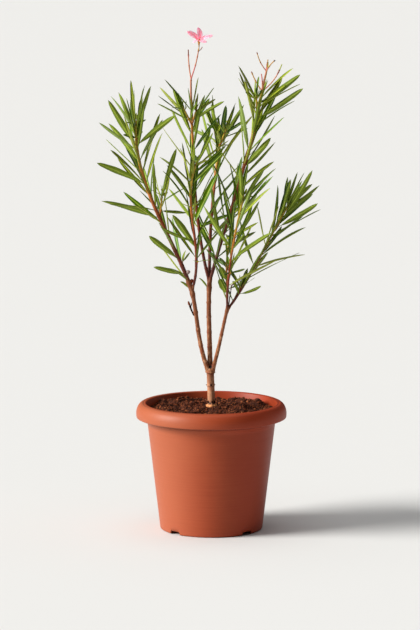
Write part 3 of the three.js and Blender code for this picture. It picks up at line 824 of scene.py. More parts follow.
CENTRE_LEFT = Stem(
    [CENTRE_FORK, (-28, 35, 486), (-29, 53, 584), (-32, 70, 680)], (2.7, 1.4), 0.74, (2.3, 1.8))
CENTRE_MIDDLE = Stem(
    [CENTRE_FORK, (-4, 51, 462), (2, 85, 532), (13, 118, 601)], (2.7, 1.5), 0.7, (2.5, 1.9))
CENTRE_RIGHT = Stem(
    [CENTRE_FORK, (24, 13, 498), (64, 7, 599), (80, 2, 703)], (2.7, 1.5), 0.7, (2.5, 1.9))
RIGHT_INNER = Stem(
    [RIGHT_FORK, (25, 2, 386), (22, 16, 418), (27, 30, 451)], (1.7, 1.2), 0.4, (1.5, 1.2))
RIGHT_MIDDLE = Stem(
    [RIGHT_FORK, (24, -35, 417), (36, -59, 479), (49, -82, 538)], (2.0, 1.2), 0.5, (1.7, 1.4))
RIGHT_OUTER = Stem(
    [RIGHT_FORK, (58, 1, 395), (84, 16, 452), (120, 32, 512)], (2.1, 1.3), 0.5, (1.9, 1.5))
BOUGHS = [LEFT, CENTRE, RIGHT]
LIMBS = [
    LEFT_OUTER, LEFT_INNER, CENTRE_LEFT, CENTRE_MIDDLE, CENTRE_RIGHT, RIGHT_INNER, RIGHT_MIDDLE, RIGHT_OUTER,
]
print("stems:", 1 + len(BOUGHS) + len(LIMBS), "with", round(sum(s.length for s in LIMBS)), "mm of limbs")

# %% [markdown]
# A swept tube is the natural way to make a stem. A mesh of bare polylines carries the route, and each point
# on it holds the stem's radius as an attribute. Geometry Nodes turn the lines into curves and sweep a circle
# along them. Attributes on the points also say which finish the bark has there.

# %% Rails: polylines that carry attributes
FINE_STEPS = 6
BLUNT_END = 0.55


def rails(name, lines):
    """A mesh of open polylines. Each line is a dict with its places in millimetres and what rides along."""
    places = np.concatenate([line["place"] for line in lines]) * MM
    edges, start = [], 0
    for line in lines:
        count = len(line["place"])
        edges += [(start + i, start + i + 1) for i in range(count - 1)]
        start += count
    mesh = bpy.data.meshes.new(name)
    mesh.from_pydata(places, edges, [])
    for key in lines[0]:
        if key != "place":
            values = np.concatenate([line[key] for line in lines])
            whole = values.dtype.kind == "i"
            kind = "FLOAT_VECTOR" if values.ndim == 2 else "INT" if whole else "FLOAT"
            attribute = mesh.attributes.new(key, kind, "POINT")
            attribute.data.foreach_set("vector" if values.ndim == 2 else "value", values.ravel())
    return linked(name, mesh)


def bent_line(points, radii, tone):
    """A smooth line through a few points, with a radius at each. Its ends are a little thinner."""
    points = np.array(points, float)
    at = np.linspace(0, 1, len(points))
    fine = np.linspace(0, 1, (len(points) - 1) * FINE_STEPS + 1)
    place = np.stack([np.interp(fine, at, points[:, k]) for k in range(3)], axis=1)
    place[1:-1] = (place[:-2] + 2 * place[1:-1] + place[2:]) / 4
    thick = np.interp(fine, at, radii) * MM
    thick[[0, -1]] *= BLUNT_END
    return {"place": place, "thick": thick, "tone": np.full(len(fine), tone)}


def sweep_tree(name, finishes):
    """Sweeps a closed tube along each polyline, as thick as its attribute thick says."""
    tree, net, given = new_tree(name, {"Sides": "Int", "Relief": "Float"})
    curve = net("GeometryNodeMeshToCurve", values={"Mesh": given["Geometry"]})
    circle = net("GeometryNodeCurvePrimitiveCircle", values={"Resolution": given["Sides"], "Radius": 1.0})
    values = {"Curve": curve, "Profile Curve": circle, "Scale": named(net, "thick"), "Fill Caps": True}
    tube = net("GeometryNodeCurveToMesh", values=values)
    long_grain = net("GeometryNodeInputPosition") * (1.0, 1.0, 0.3)
    relief = (net.noise(long_grain, 900, 2.0) - 0.5) * given["Relief"]
    rough = pushed(net, tube, net("GeometryNodeInputNormal") * relief)
    finished_tree(net, painted(net, rough, finishes, named(net, "tone", "INT")))
    return tree


def swept(name, lines, finishes, sides, relief=0.0):
    """Tubes with so many sides and a relief in millimetres, in the finishes that their tones name."""
    tree = sweep_tree("sweep_" + name, finishes)
    return grown(name, rails(name + "_rails", lines), tree, Sides=sides, Relief=relief * MM)


print("a rail holds", ", ".join(bent_line([(0, 0, 0), (0, 0, 1)], (1, 1), 0)))

# %% [markdown]
# The trunk and its three boughs are old wood with tan bark. Where they meet they grow into each other, so
# their tubes are swept first and a voxel Remesh then melts them into one skin. A second tree presses in the
# relief: long shallow furrows, and small round pores. Rings stand where leaves once grew.

# %% Old wood: trunk and boughs
OLD_STEP = 0.8
VOXEL = 0.5
FURROW = 0.5
PORE = 0.22
STUB_LENGTH = 15
OLD_LEFT_LENGTH = 34
TRUNK_RINGS = [(8.4, -1.7, 2.2), (13.5, -0.2, 3), (35.6, 1.1, 1.3), (47, 0.25, 12)]
COLLAR = [(-1.9, 0, 246), (-1.9, 0, 250.2), (-1.8, 0, 251.6), (-1.6, 0, 256), (-1.2, 0, 261)]
COLLAR_THICK = [5.3, 6.1, 8.3, 6.9, 3.4]
BOUGH_RINGS = [
    [(3, 1.0, 9), (22, 0.3, 2.0), (48, 0.35, 1.8), (74, 0.5, 2.5), (103, 0.7, 2.2), (134, 1.2, 6.0)],
    [(3, 0.8, 9), (20, 0.35, 2.5), (42, 0.3, 1.8), (66, 0.45, 2.0), (90, 0.4, 1.8), (113, 0.6, 2.0),
     (136, 0.9, 7.0)],
    [(3, 1.2, 9), (18, 0.25, 1.8), (40, 0.25, 1.5), (66, 0.3, 1.5), (88, 0.25, 1.5), (106, 0.7, 3.5)],
]
EASE_LENGTH = 8
STUB_EASE = 0.5


def ringed(stem, start, end, step, rings, ease=0.0):
    """A stretch of a stem in millimetres, with rings given as place, height and width.

    ease is how much thinner the stretch gets towards its end.
    """
    reach = np.arange(start, end + step / 2, step)
    share = reach / stem.length
    thick = stem.radius(share, shown=True)
    for at, height, width in rings:
        thick = thick + height * np.exp(-((reach - at) / width) ** 2)
    thick = thick - ease * np.clip((reach - end + EASE_LENGTH) / EASE_LENGTH, 0, 1)
    return {"place": stem.at(share), "thick": thick * MM, "tone": np.zeros(len(reach), int)}


def stub(stem):
    """The first stretch of a young limb, which grows out of the old wood and thins into it."""
    if stem is LEFT_OUTER:
        return ringed(stem, 0, OLD_LEFT_LENGTH, OLD_STEP, [(4, 0.9, 16), (14, 0.7, 3.5)], STUB_EASE)
    return ringed(stem, 0, STUB_LENGTH, OLD_STEP, [(0, 1.2, 6.0)], STUB_EASE)


wood_lines = [
    ringed(stem, 0, stem.length, OLD_STEP, rings)
    for stem, rings in zip([TRUNK, *BOUGHS], [TRUNK_RINGS, *BOUGH_RINGS])
]
wood_lines += [stub(limb) for limb in LIMBS]
wood_lines.append(bent_line(COLLAR, COLLAR_THICK, 0))
print("tubes of old wood:", len(wood_lines))

# %% [markdown]
# The bark's finish is tan brown with darker furrows. Noise that is stretched along the stem gives the
# streaks, a finer one the flecks, and a Voronoi cell pattern the pores. The foot of the trunk is paler.
# Soft spots of painted shade darken the crotches where the boughs part, and patches of painted shade lie
# just above the trunk's foot. Small dark spots sit at a knot and at two leaf scars, and the first stretch of
# the limbs is a darker red.

# %% Old wood: bark finish
BARK_TAN = colour("965F3C")
BARK_BROWN = colour("7A4426")
BARK_PALE = colour("C48E5C")
BARK_PINK = colour("D49A76")
BARK_RED = colour("8A3E24")
BARK_DARK = colour("48220F")
SHADE_AND_SPOT_DARK = colour("1E0C06")
LIMB_RED = colour("5A200E")
# the darkest spots are painted shade in the crotches, and dark marks at a knot and at two leaf scars; the red
# ones are the limbs' own colour
SPRAYED_PLACES = [
    (SHADE_AND_SPOT_DARK, (-1.4, -3, 260.6), 2.2, 4.2, 0.97), (SHADE_AND_SPOT_DARK, (-1.0, -1.5, 266), 2, 9, 0.45),
    (SHADE_AND_SPOT_DARK, (-0.6, -6.2, 232.4), 1.2, 2.6, 0.85), (SHADE_AND_SPOT_DARK, (-2.5, 5, 363), 0.8, 2.4, 0.7),
    (SHADE_AND_SPOT_DARK, (-3.6, 5, 352), 0.6, 2, 0.6), (LIMB_RED, (-3, 21, 406), 6, 13, 0.85),
    (LIMB_RED, (27, -12, 365), 5, 11, 0.85), (LIMB_RED, (-26, -18, 399), 3, 10, 0.8),
    (LIMB_RED, (-42, -17, 419), 4, 14, 0.85),
]
SMOOTH_ROUNDS = 4
SKIRT_SHADE = (0.004, 0.0055, 0.0075, 0.009)


def bark(net, place):
    """What varies in the old bark. Tones lie over each other like thin coats of paint."""
    streaks = net.noise(place * (1.0, 1.0, 0.18), 800, 3.0, 0.6)
    spots = net.noise(place * (1.0, 1.0, 0.5), 240, 3.0, 0.6)
    patches = net.noise(place, 70, 2.0)
    flecks = net.cells(place, 420.0)
    height = place.part("Z")
    tone = net.coated(
        net.blend(net.step(patches, 0.35, 0.68), BARK_BROWN, BARK_TAN),
        (net.step(streaks, 0.5, 0.72) * 0.55, BARK_PALE),
        ((1 - net.step(flecks, 0.12, 0.3)) * 0.5, BARK_DARK),
        (net.step(spots, 0.53, 0.63) * 0.8, BARK_RED),
        ((1 - net.step(spots, 0.36, 0.46)) * 0.75, BARK_PINK),
        ((1 - net.step(height, 0.212, 0.266)) * 0.6, BARK_PINK),
        (net.step(height, 0.28, 0.36) * 0.7, BARK_BROWN),
    )
    for sprayed, middle, near, far, strength in SPRAYED_PLACES:
        reach = place.distance(tuple(v * MM for v in middle))
        tone = net.blend((1 - net.step(reach, near * MM, far * MM)) * strength, tone, sprayed)
    # painted shade in patches on the band just above the trunk's foot
    low, full, fading, top = [TRUNK_FOOT * MM + rise for rise in SKIRT_SHADE]
    skirt = net.step(height, low, full) * (1 - net.step(height, fading, top))
    tone = net.blend(skirt * net.step(net.noise(place, 260, 1.0), 0.4, 0.5) * 0.9, tone, SHADE_AND_SPOT_DARK)
    return {
        "Base Color": tone,
        "Roughness": 0.72 + (patches - 0.5) * 0.3,
        "Normal": bump(net, streaks + flecks * 0.4, 0.35),
    }


bark_finish = finish("tan_bark", bark, {"Specular IOR Level": 0.3})


def relief_tree():
    """Presses long furrows and round pores into the bark."""
    tree, net, given = new_tree("press_relief", {"Furrow": "Float", "Pore": "Float"})
    place = net("GeometryNodeInputPosition")
    furrows = net.noise(place * (1.0, 1.0, 0.22), 620, 3.0, 0.6) - 0.5
    pores = 1 - net.step(net.cells(place, 330.0), 0.1, 0.35)
    offset = net("GeometryNodeInputNormal") * (furrows * given["Furrow"] + pores * given["Pore"])
    pressed = pushed(net, given["Geometry"], offset)
    whole = net("GeometryNodeSetMaterial", values={"Geometry": pressed, "Material": bark_finish})
    finished_tree(net, whole)
    return tree


wood = swept("wood_tubes", wood_lines, [bark_finish], 20)
melt = wood.modifiers.new("melt", "REMESH")
melt.mode = "VOXEL"
melt.voxel_size = VOXEL * MM
even = wood.modifiers.new("even", "SMOOTH")
even.factor = 0.5
even.iterations = SMOOTH_ROUNDS
wood = applied(wood, "wood_melted")
wood = grown("bark", wood, relief_tree(), Furrow=FURROW * MM, Pore=PORE * MM)
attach(wood, "root")
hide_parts("trunk", "left_bough", "centre_bough", "right_bough")

# %% [markdown]
# Leaves follow the source's rule. They stand three to a whorl, each whorl turned from the one below it and
# closer to it up the shoot. A stream of numbers with a fixed seed says how each leaf leans, bends and rolls.
# A leaf that would leave its mass's space, or come too close to a stem or to a leaf that is already there,
# is left out. These numbers have to stay the same as the source's, because the solids were grown by them.

# %% The rule: how leaves grow
LEAF = {
    "length": (1, 1, 0.8), "lean": (52, 35, 28),
    "young_length": (1.05, 0.98, 0.6), "young_lean": (56, 38, 24),
    "lean_spread": 38, "bend": 38, "bend_middle": 0.45, "sway": 28, "roll": 140,
    "low_kept": 0.8, "low_kept_rise": 1.6, "width_base": 3.8, "width_rate": 0.056,
}
RULE_STEPS = 3
RULE_OUTLINE = np.array((0.16, 1, 0.8, 0))
WHORL = 3
WHORL_TURN = 60
WHORL_TURN_SPREAD = 24
WHORL_CROWDING = 1.35
WHORL_LAST = 0.985
AZIMUTH_SPREAD = 26
LENGTH_SPREAD = 0.28
SHOOT_MIDDLE = 0.55


def stream(seed):
    """Numbers from 0 to 1 that are the same for the same seed. The first three are thrown away."""
    state = seed

    def draw():
        nonlocal state
        state = (state * 1664525 + 1013904223) % 2 ** 32
        return state / 2 ** 32

    for _ in range(3):
        draw()
    return draw


def along(t, low, middle, top):
    """A value that runs from low through middle to top along a shoot."""
    if t < SHOOT_MIDDLE:
        return low + (middle - low) * t / SHOOT_MIDDLE
    return middle + (top - middle) * (t - SHOOT_MIDDLE) / (1 - SHOOT_MIDDLE)


print("the rule draws, with seed 1:", round(stream(1)(), 6))

# %% [markdown]
# A leaf leans out from its shoot at an angle, bends on the way and sways to one side. Its heading is known
# at each share of its length, so short steps along the heading give its midrib. The rule measures a leaf by
# its midrib and its two edges, and the mesh is later grown on a finer midrib of the same leaf.

# %% The rule: one leaf
def square_to(way):
    """Two directions that stand square to a way and to each other."""
    side = unit(np.cross(way, (0, 1, 0)))
    return side, np.cross(way, side)


class Leaf:
    """One leaf of a shoot. t is its place on the shoot, from 0 at the lowest whorl to 1 at the top."""

    def __init__(self, foot, tangent, turn, random, t, size, young):
        self.foot, self.tangent, self.t, self.young = foot, tangent, t, young
        lean = along(t, *LEAF["young_lean" if young else "lean"])
        share = along(t, *LEAF["young_length" if young else "length"])
        self.az = math.radians(turn + (random[1] - 0.5) * AZIMUTH_SPREAD)
        self.lean = math.radians(lean + (random[2] - 0.5) * LEAF["lean_spread"])
        self.length = size * share * (1 - LENGTH_SPREAD / 2 + LENGTH_SPREAD * random[3])
        easing = 0.4 + 0.6 * (1 - t)
        self.bend = math.radians((random[4] - LEAF["bend_middle"]) * LEAF["bend"]) * easing
        self.sway = math.radians((random[5] - 0.5) * LEAF["sway"])
        roll = math.radians((random[6] - 0.5) * LEAF["roll"])
        self.side, self.back = square_to(tangent)
        level = unit(np.cross(tangent, self.outward(self.az + self.sway / 2)))
        upright = np.cross(self.heading(0.5), level)
        self.across = level * math.cos(roll) + upright * math.sin(roll)
        self.width = LEAF["width_base"] + LEAF["width_rate"] * self.length

    def outward(self, angle):
        """A direction square to the shoot, turned round it by an angle."""
        angle = np.asarray(angle)[..., None]
        return self.side * np.cos(angle) + self.back * np.sin(angle)

    def heading(self, share):
        """The leaf's direction at a share of its length."""
        share = np.asarray(share)
        lean = (self.lean + self.bend * share)[..., None]
        return self.tangent * np.cos(lean) + self.outward(self.az + self.sway * share) * np.sin(lean)

    def midrib(self, steps):
        """Points from the leaf's foot to its tip."""
        middles = (np.arange(steps) + 0.5) / steps
        legs = self.heading(middles) * self.length / steps
        return np.concatenate([[self.foot], self.foot + np.cumsum(legs, axis=0)])

    def lines(self):
        """The midrib and the two edges, as the rule measures them."""
        rib = self.midrib(RULE_STEPS)
        edge = self.across * (self.width / 2 * RULE_OUTLINE)[:, None]
        return np.stack([rib, rib + edge, rib - edge])


class SingleLeaf(Leaf):
    """A leaf that is given by its foot and its tip. az turns its face about its length."""

    def __init__(self, foot, tip, width, az, bend=26):
        way = np.subtract(tip, foot)
        self.foot, self.length, self.width = np.array(foot, float), np.linalg.norm(way), width
        self.tangent, self.t, self.young = way / self.length, 0.5, False
        self.az, self.sway, self.bend = math.radians(az), 0.0, math.radians(bend)
        self.lean = -self.bend / 2
        self.side, self.back = square_to(self.tangent)
        self.across = np.cross(self.tangent, self.outward(self.az))


sample = SingleLeaf((0, 0, 0), (0, 30, 60), 8, 60)
print("a leaf's three lines as an array:", sample.lines().shape)

# %% [markdown]
# Whorls of three crowd towards the top of a shoot. Each is turned by about sixty degrees from the one
# below, so that its leaves stand over the gaps. Low down a leaf may be missing, as old ones fall first.

# %% The rule: whorls on a shoot
def whorl_share(shoot, t):
    """How far up its stem a whorl stands. Whorls crowd towards the top."""
    return shoot["first"] + (WHORL_LAST - shoot["first"]) * (1 - (1 - t) ** WHORL_CROWDING)


def leaves_on(shoot, seed):
    """The leaves that a shoot would bear if nothing were in their way."""
    draw, stem = stream(seed), shoot["stem"]
    leaves = []
    turn = draw() * 360
    for whorl in range(shoot["whorls"]):
        t = whorl / (shoot["whorls"] - 1) if shoot["whorls"] > 1 else 0
        share = whorl_share(shoot, t)
        foot, tangent = stem.at(share), stem.heading(share)
        turn += WHORL_TURN + (draw() - 0.5) * WHORL_TURN_SPREAD
        for place in range(WHORL):
            random = [draw() for _ in range(7)]
            kept = LEAF["low_kept"] + (1 - LEAF["low_kept"]) * min(1, t * LEAF["low_kept_rise"])
            if shoot["young"] or random[0] < kept:
                at = turn + place * 360 / WHORL
                leaves.append(Leaf(foot, tangent, at, random, t, shoot["leaf"], shoot["young"]))
    return leaves


print("leaves in a whorl:", WHORL)

# %% [markdown]
# Each mass has one main shoot along its limb, and some have short side shoots with young leaves. Besides its
# shoots a mass has a seed and a reach: no leaf's tip may lie further from the shoots than that.

# %% The rule: the shoots of each mass
def main_shoot(stem, whorls, first, leaf):
    """A shoot along a limb. first is the share at its lowest whorl, and leaf its full leaf length."""
    return {"stem": stem, "whorls": whorls, "first": first, "leaf": leaf, "young": False}


def side_shoot(foot, tip, whorls=2, first=0.35, leaf=66, thick=(1.4, 1.1)):
    """A short straight shoot with young leaves."""
    path = [np.array(foot) + (np.array(tip) - np.array(foot)) * k / 3 for k in range(4)]
    return {"stem": Stem(path, thick, 0.0), "whorls": whorls, "first": first, "leaf": leaf, "young": True}


TOP_OF_CENTRE_MIDDLE = (13, 118, 601)
MASSES = {
    "foliage_left_outer": (1857, 86, [
        main_shoot(LEFT_OUTER, 14, 0.06, 98),
        side_shoot((-81, -22, 504), (-78, 2, 533), 3, 0.3, 58),
    ]),
    "foliage_centre_left": (1056, 80, [
        main_shoot(CENTRE_LEFT, 9, 0.3, 86),
        side_shoot((-31, 58, 641), (-42, 52, 664)),
        side_shoot((-31, 58, 641), (-25, 68, 661)),
    ]),
    "foliage_centre_right": (1091, 86, [
        main_shoot(CENTRE_RIGHT, 14, 0.13, 95),
        side_shoot((72, 4, 663), (71, -12, 688), leaf=62),
    ]),
    "foliage_right_outer": (1547, 86, [main_shoot(RIGHT_OUTER, 11, 0.09, 91)]),
    "foliage_left_inner": (448, 80, [main_shoot(LEFT_INNER, 9, 0.12, 88)]),
    "foliage_centre_middle": (1126, 80, [
        main_shoot(CENTRE_MIDDLE, 8, 0.33, 106),
        side_shoot(TOP_OF_CENTRE_MIDDLE, (5, 130, 626), 3, 0.3),
        side_shoot(TOP_OF_CENTRE_MIDDLE, (21, 108, 622), 3, 0.3),
    ]),
    "foliage_right_middle": (313, 80, [main_shoot(RIGHT_MIDDLE, 10, 0.22, 99)]),
    "foliage_right_inner": (1161, 70, [main_shoot(RIGHT_INNER, 7, 0.16, 62)]),
}
print("shoots:", sum(len(shoots) for _, _, shoots in MASSES.values()))

# %% [markdown]
# Two stems end in flower stalks. The leaves keep clear of them too, so their routes are needed before any
# leaf can be placed. Each stalk is a straight line from its foot to its tip for now.

# %% The rule: stalks that leaves keep clear of
STALK_RADIUS = 1
FLOWER_BASE = (-19.7, 66, 764.8)
FLOWER_STALK_FOOT = (-32, 70, 676)
FLOWER_STALK_FORK = (-32.5, 69, 713.6)
FLOWER_STALKS = [
    (FLOWER_STALK_FOOT, FLOWER_STALK_FORK),
    (FLOWER_STALK_FORK, FLOWER_BASE),
    (FLOWER_STALK_FORK, (-36.7, 72, 760.3)),
]
SPENT_STALK_FOOT = (80, 2, 700)
SPENT_STALK_FORK = (86.6, 2, 731.7)
SPENT_STALKS = [
    (SPENT_STALK_FOOT, SPENT_STALK_FORK),
    (SPENT_STALK_FORK, (71.5, 0, 762)),
    (SPENT_STALK_FORK, (89.1, 5, 750.4)),
    (SPENT_STALK_FORK, (100.3, -5, 750)),
    (SPENT_STALK_FOOT, (62.9, 8, 731.2)),
    (SPENT_STALK_FOOT, (110.9, -8, 744)),
]
print("stalks to keep clear of:", len(FLOWER_STALKS) + len(SPENT_STALKS))

# %% [markdown]
# A leaf is tested as three bent lines, its midrib and its two edges. The distance between two lines is the
# least distance between their straight pieces. NumPy compares all pieces of a leaf with all pieces of the
# others in one step.

# %% The rule: distances between lines
STEM_CHECK_STEPS = 10


def pieces_of(lines):
    """Straight pieces of polylines: their first ends and their second ends."""
    return lines[..., :-1, :].reshape(-1, 3), lines[..., 1:, :].reshape(-1, 3)


def apart(ones, others):
    """The least distance between each straight piece of one group and each of another.

    s and t are the places on the two pieces where they come nearest, as shares of their lengths.
    """
    p1, q1 = ones[0][:, None], ones[1][:, None]
    p2, q2 = others[0][None], others[1][None]
    d1, d2, r = q1 - p1, q2 - p2, p1 - p2
    a, e = (d1 * d1).sum(-1) + 1e-12, (d2 * d2).sum(-1) + 1e-12
    b, c, f = (d1 * d2).sum(-1), (d1 * r).sum(-1), (d2 * r).sum(-1)
    spread = a * e - b * b
    skewed = spread > 1e-9
    s = np.where(skewed, np.clip((b * f - c * e) / np.where(skewed, spread, 1), 0, 1), 0)
    t = (b * s + f) / e
    s = np.where(t < 0, np.clip(-c / a, 0, 1), np.where(t > 1, np.clip((b - c) / a, 0, 1), s))
    t = np.clip(t, 0, 1)
    return np.linalg.norm(p1 + d1 * s[..., None] - p2 - d2 * t[..., None], axis=-1)


def stem_pieces(stems):
    """Stems as straight pieces with a radius each."""
    ends = [pieces_of(stem.point(np.linspace(0, 1, STEM_CHECK_STEPS + 1))) for stem in stems]
    radii = [stem.radius(np.linspace(0, 1, STEM_CHECK_STEPS)) for stem in stems]
    return np.concatenate([e[0] for e in ends]), np.concatenate([e[1] for e in ends]), np.concatenate(radii)


def joined(groups):
    """Several groups of straight pieces as one."""
    return tuple(np.concatenate(parts) for parts in zip(*groups))


print("straight pieces to a stem:", STEM_CHECK_STEPS)

# %% [markdown]
# Each leaf that stays in its mass's reach and clear of the stems, of the other masses' leaves and of its own
# mass's midribs is placed, and the next ones keep clear of it. What doesn't fit is left out.

# %% The rule: which leaves are left out
RULE_GAPS = {"leaves": 3.8, "stems": 2.6, "own_stem": 0.8, "own_leaves": 2.2}
SMALL_GAPS = {"leaves": 1.3, "stems": 0.8, "own_stem": -1.0, "own_leaves": 0.5}
NEAR_SHARE = 0.6
NEAR_SLACK = 6

stalk_ends = np.array(FLOWER_STALKS + SPENT_STALKS, float)
STALK_PIECES = (stalk_ends[:, 0], stalk_ends[:, 1], np.full(len(stalk_ends), float(STALK_RADIUS)))
stems_of_mass = {name: [shoot["stem"] for shoot in shoots] for name, (_, _, shoots) in MASSES.items()}
own_pieces = {name: stem_pieces(stems) for name, stems in stems_of_mass.items()}
bough_pieces = stem_pieces(BOUGHS)
placed = []


def fits(leaf, name, reach, mine, gaps):
    """Whether a leaf of a mass stays in its space and clear of stems and of other leaves."""
    lines = leaf.lines()
    whole, outer, rib = pieces_of(lines), pieces_of(lines[:, 1:]), pieces_of(lines[:1, 1:])
    tip, middle = lines[0, -1], lines[0, 1]
    own = own_pieces[name]
    if apart((tip[None], tip[None]), own[:2]).min() >= reach:
        return False
    for other in placed:
        closeness = (other["length"] + leaf.length) * NEAR_SHARE + NEAR_SLACK
        near = np.linalg.norm(other["middle"] - middle) < closeness
        theirs = other["mass"] == name
        if near and not theirs and apart(whole, other["whole"]).min() < gaps["leaves"]:
            return False
    others = joined([p for key, p in own_pieces.items() if key != name] + [STALK_PIECES, bough_pieces])
    if (apart(whole, others[:2]) - others[2]).min() < gaps["stems"]:
        return False
    if (apart(outer, own[:2]) - own[2]).min() < gaps["own_stem"]:
        return False
    return all(apart(rib, other["rib"]).min() >= gaps["own_leaves"] for other in mine)


def placed_leaf(leaf, name):
    """What is kept of a leaf, for the tests of later ones and for its mesh."""
    lines = leaf.lines()
    return {
        "leaf": leaf, "mass": name, "length": leaf.length, "middle": lines[0, 1],
        "whole": pieces_of(lines), "rib": pieces_of(lines[:1, 1:]),
    }


def grow(name, shoots_and_seeds, reach, gaps):
    """Adds the leaves of some shoots to a mass."""
    mine = [other for other in placed if other["mass"] == name]
    before = len(mine)
    for shoot, seed in shoots_and_seeds:
        for leaf in leaves_on(shoot, seed):
            if fits(leaf, name, reach, mine, gaps):
                mine.append(placed_leaf(leaf, name))
    placed.extend(mine[before:])
    return len(mine) - before


for name, (seed, reach, shoots) in MASSES.items():
    count = grow(name, [(shoot, seed + i) for i, shoot in enumerate(shoots)], reach, RULE_GAPS)
    print(name + ":", count, "leaves")

# %% [markdown]
# The same rule is carried on to finer twigs. Each shoot ends in a tuft of small new leaves, and some leaf
# axils hold a short twig with a few leaves of its own. They stay within the reach of their mass, and they
# are tested against everything that is already there.

# %% Finer twigs
TUFT_LENGTH = 9
TUFT_LEAF = 20
AXIL_LENGTH = 12
AXIL_LEAF = 26
AXIL_EVERY = 7
AXIL_LEAN = 18
AXIL_FRESH = 0.7
AXIL_START = 0.08
AXIL_END = 0.9
TWIG_STREAM = 7000
TWIG_LEAVES = 100
TWIG_THICK = (0.9, 0.6)


def tuft(shoot):
    """Small leaves round the tip of a shoot."""
    tip, heading = shoot["stem"].at(1.0), shoot["stem"].heading(1.0)
    return side_shoot(tip - heading * 2, tip + heading * TUFT_LENGTH, 2, 0.3, TUFT_LEAF, TWIG_THICK)


def axil_twig(stem, share, turn):
    """A short twig that leans out from a stem."""
    foot, heading = stem.at(share), stem.heading(share)
    side, back = square_to(heading)
    outward = side * math.cos(turn) + back * math.sin(turn)
    lean = math.radians(AXIL_LEAN)
    tip = foot + (heading * math.cos(lean) + outward * math.sin(lean)) * AXIL_LENGTH
    twig = side_shoot(foot, tip, 1, 0.8, AXIL_LEAF, TWIG_THICK)
    twig["stem"].fresh = AXIL_FRESH
    return twig


fine_twigs = []
for name, (seed, reach, shoots) in MASSES.items():
    draw = stream(seed + TWIG_STREAM)
    twigs = [tuft(shoot) for shoot in shoots]
    main = shoots[0]
    for share in np.linspace(main["first"] + AXIL_START, AXIL_END, max(1, main["whorls"] // AXIL_EVERY)):
        twigs.append(axil_twig(main["stem"], share, draw() * 2 * math.pi))
    count = grow(name, [(twig, seed + TWIG_LEAVES + i) for i, twig in enumerate(twigs)], reach, SMALL_GAPS)
    fine_twigs += [twig["stem"] for twig in twigs]
    print(name + ":", count, "small leaves")

# %% [markdown]
# The rule can't know each leaf of a real plant. A few bold ones are set one by one, each by its foot and its
# tip: small ones low on the limbs, below the first whorl, and long ones that reach out at the sides of the
# heads. Two leaves of the rule that would stand out in a bare place are picked off by the place of their tip.

# %% Single leaves
LOW_LEAVES = {
    "foliage_left_outer": [
        ((-33.5, -9, 387), (-50.8, -16, 401), 5.2, 60),
        ((-42.5, -18, 412.5), (-95.5, -36, 426.7), 9.0, 70, -20),
        ((-53, -20, 437), (-102, -40, 479), 10.0, 66, -16),
    ],
    "foliage_centre_left": [((-6.6, 12, 386), (-21.3, 6, 404.1), 4.6, 50)],
    "foliage_right_middle": [
        ((24.6, -15, 380), (11.3, -20, 406.8), 11.0, 88),
        ((24.4, -18, 401), (12.4, -26, 427), 9.4, 80),
    ],
    "foliage_right_outer": [
        ((43.4, -7, 378), (32.9, -14, 402.5), 5.8, 60),
        ((45.6, -6, 379), (81.7, -16, 394.2), 6.0, 40),
    ],
}
SIDE_LEAVES = {
    "foliage_left_outer": [
        ((-117, -31, 615), (-165, -47, 697), 9.6, 78, -14),
        ((-118, -31, 629), (-148, -19, 706), 8.4, 70, 12),
        ((-103.5, -26, 556), (-186, -40, 594), 9.8, 72, 16),
        ((-117, -31, 618), (-52, -52, 671), 9.2, 106, 14),
        ((-78, 0, 532), (-53, -15, 618), 8.4, 60, -16),
        ((-84, -23, 503), (-179.5, -39, 533), 9.6, 70, 16),
        ((-113, -30, 591), (-165.7, -8.5, 655), 9.0, 72, 14),
    ],
    "foliage_left_inner": [((-24, -36, 455), (-64, -51, 515), 10.2, 78, 14)],
    "foliage_centre_right": [
        ((52, 8, 579), (97, -11, 632), 9.6, 74, 14),
        ((71.3, 3.6, 656), (150, -22, 711), 9.0, 66, 14),
        ((76.2, 3, 681), (145, -5.6, 731), 8.8, 68, 14),
    ],
    "foliage_right_outer": [
        ((110, 28, 487), (164, 15, 580.5), 8.5, 72, 14),
        ((107, 26, 482), (173.7, 9, 524.6), 8.5, 70, 14),
    ],
}
PICKED_OFF = [(-148.3, -70.8, 498.7), (11.2, 63.1, 726.1)]
PICK_REACH = 2


def set_by_hand(table, name):
    """The single leaves of a mass."""
    return [SingleLeaf(*row) for row in table.get(name, [])]


print("low leaves:", sum(len(leaves) for leaves in LOW_LEAVES.values()))
print("side leaves:", sum(len(leaves) for leaves in SIDE_LEAVES.values()))

# %% [markdown]
# An oleander leaf is long, narrow and leathery. It is widest near the middle, runs out to a sharp tip, and
# folds a little along a pale midrib. Its underside is greyer. One Geometry Nodes tree grows every leaf: the
# rail is the midrib, and it carries three vectors at each point, for how wide, how folded and how thick the
# leaf is there. The section is one closed outline that is laid on those vectors.

# %% Leaves: section and outline
SECTION = [
    (-1.0, 1.0, 0.0), (-0.58, 0.44, 1.0), (-0.15, 0.05, 1.0), (0.0, 0.0, 0.3),
    (0.15, 0.05, 1.0), (0.58, 0.44, 1.0), (1.0, 1.0, 0.0), (0.58, 0.44, -1.0),
    (0.13, 0.05, -1.0), (0.0, 0.0, -3.2), (-0.13, 0.05, -1.0), (-0.58, 0.44, -1.0),
]
BLADE_STEPS = 14
BLADE_HALF_THICKNESS = 0.22
PETIOLE_SHARE = 0.07
MIDRIB_SHARE = 0.1
OUTLINE_SKEW = 1.15
OUTLINE_POWER = 0.58
PETIOLE_HALF = 0.13
BODY_START = 0.2


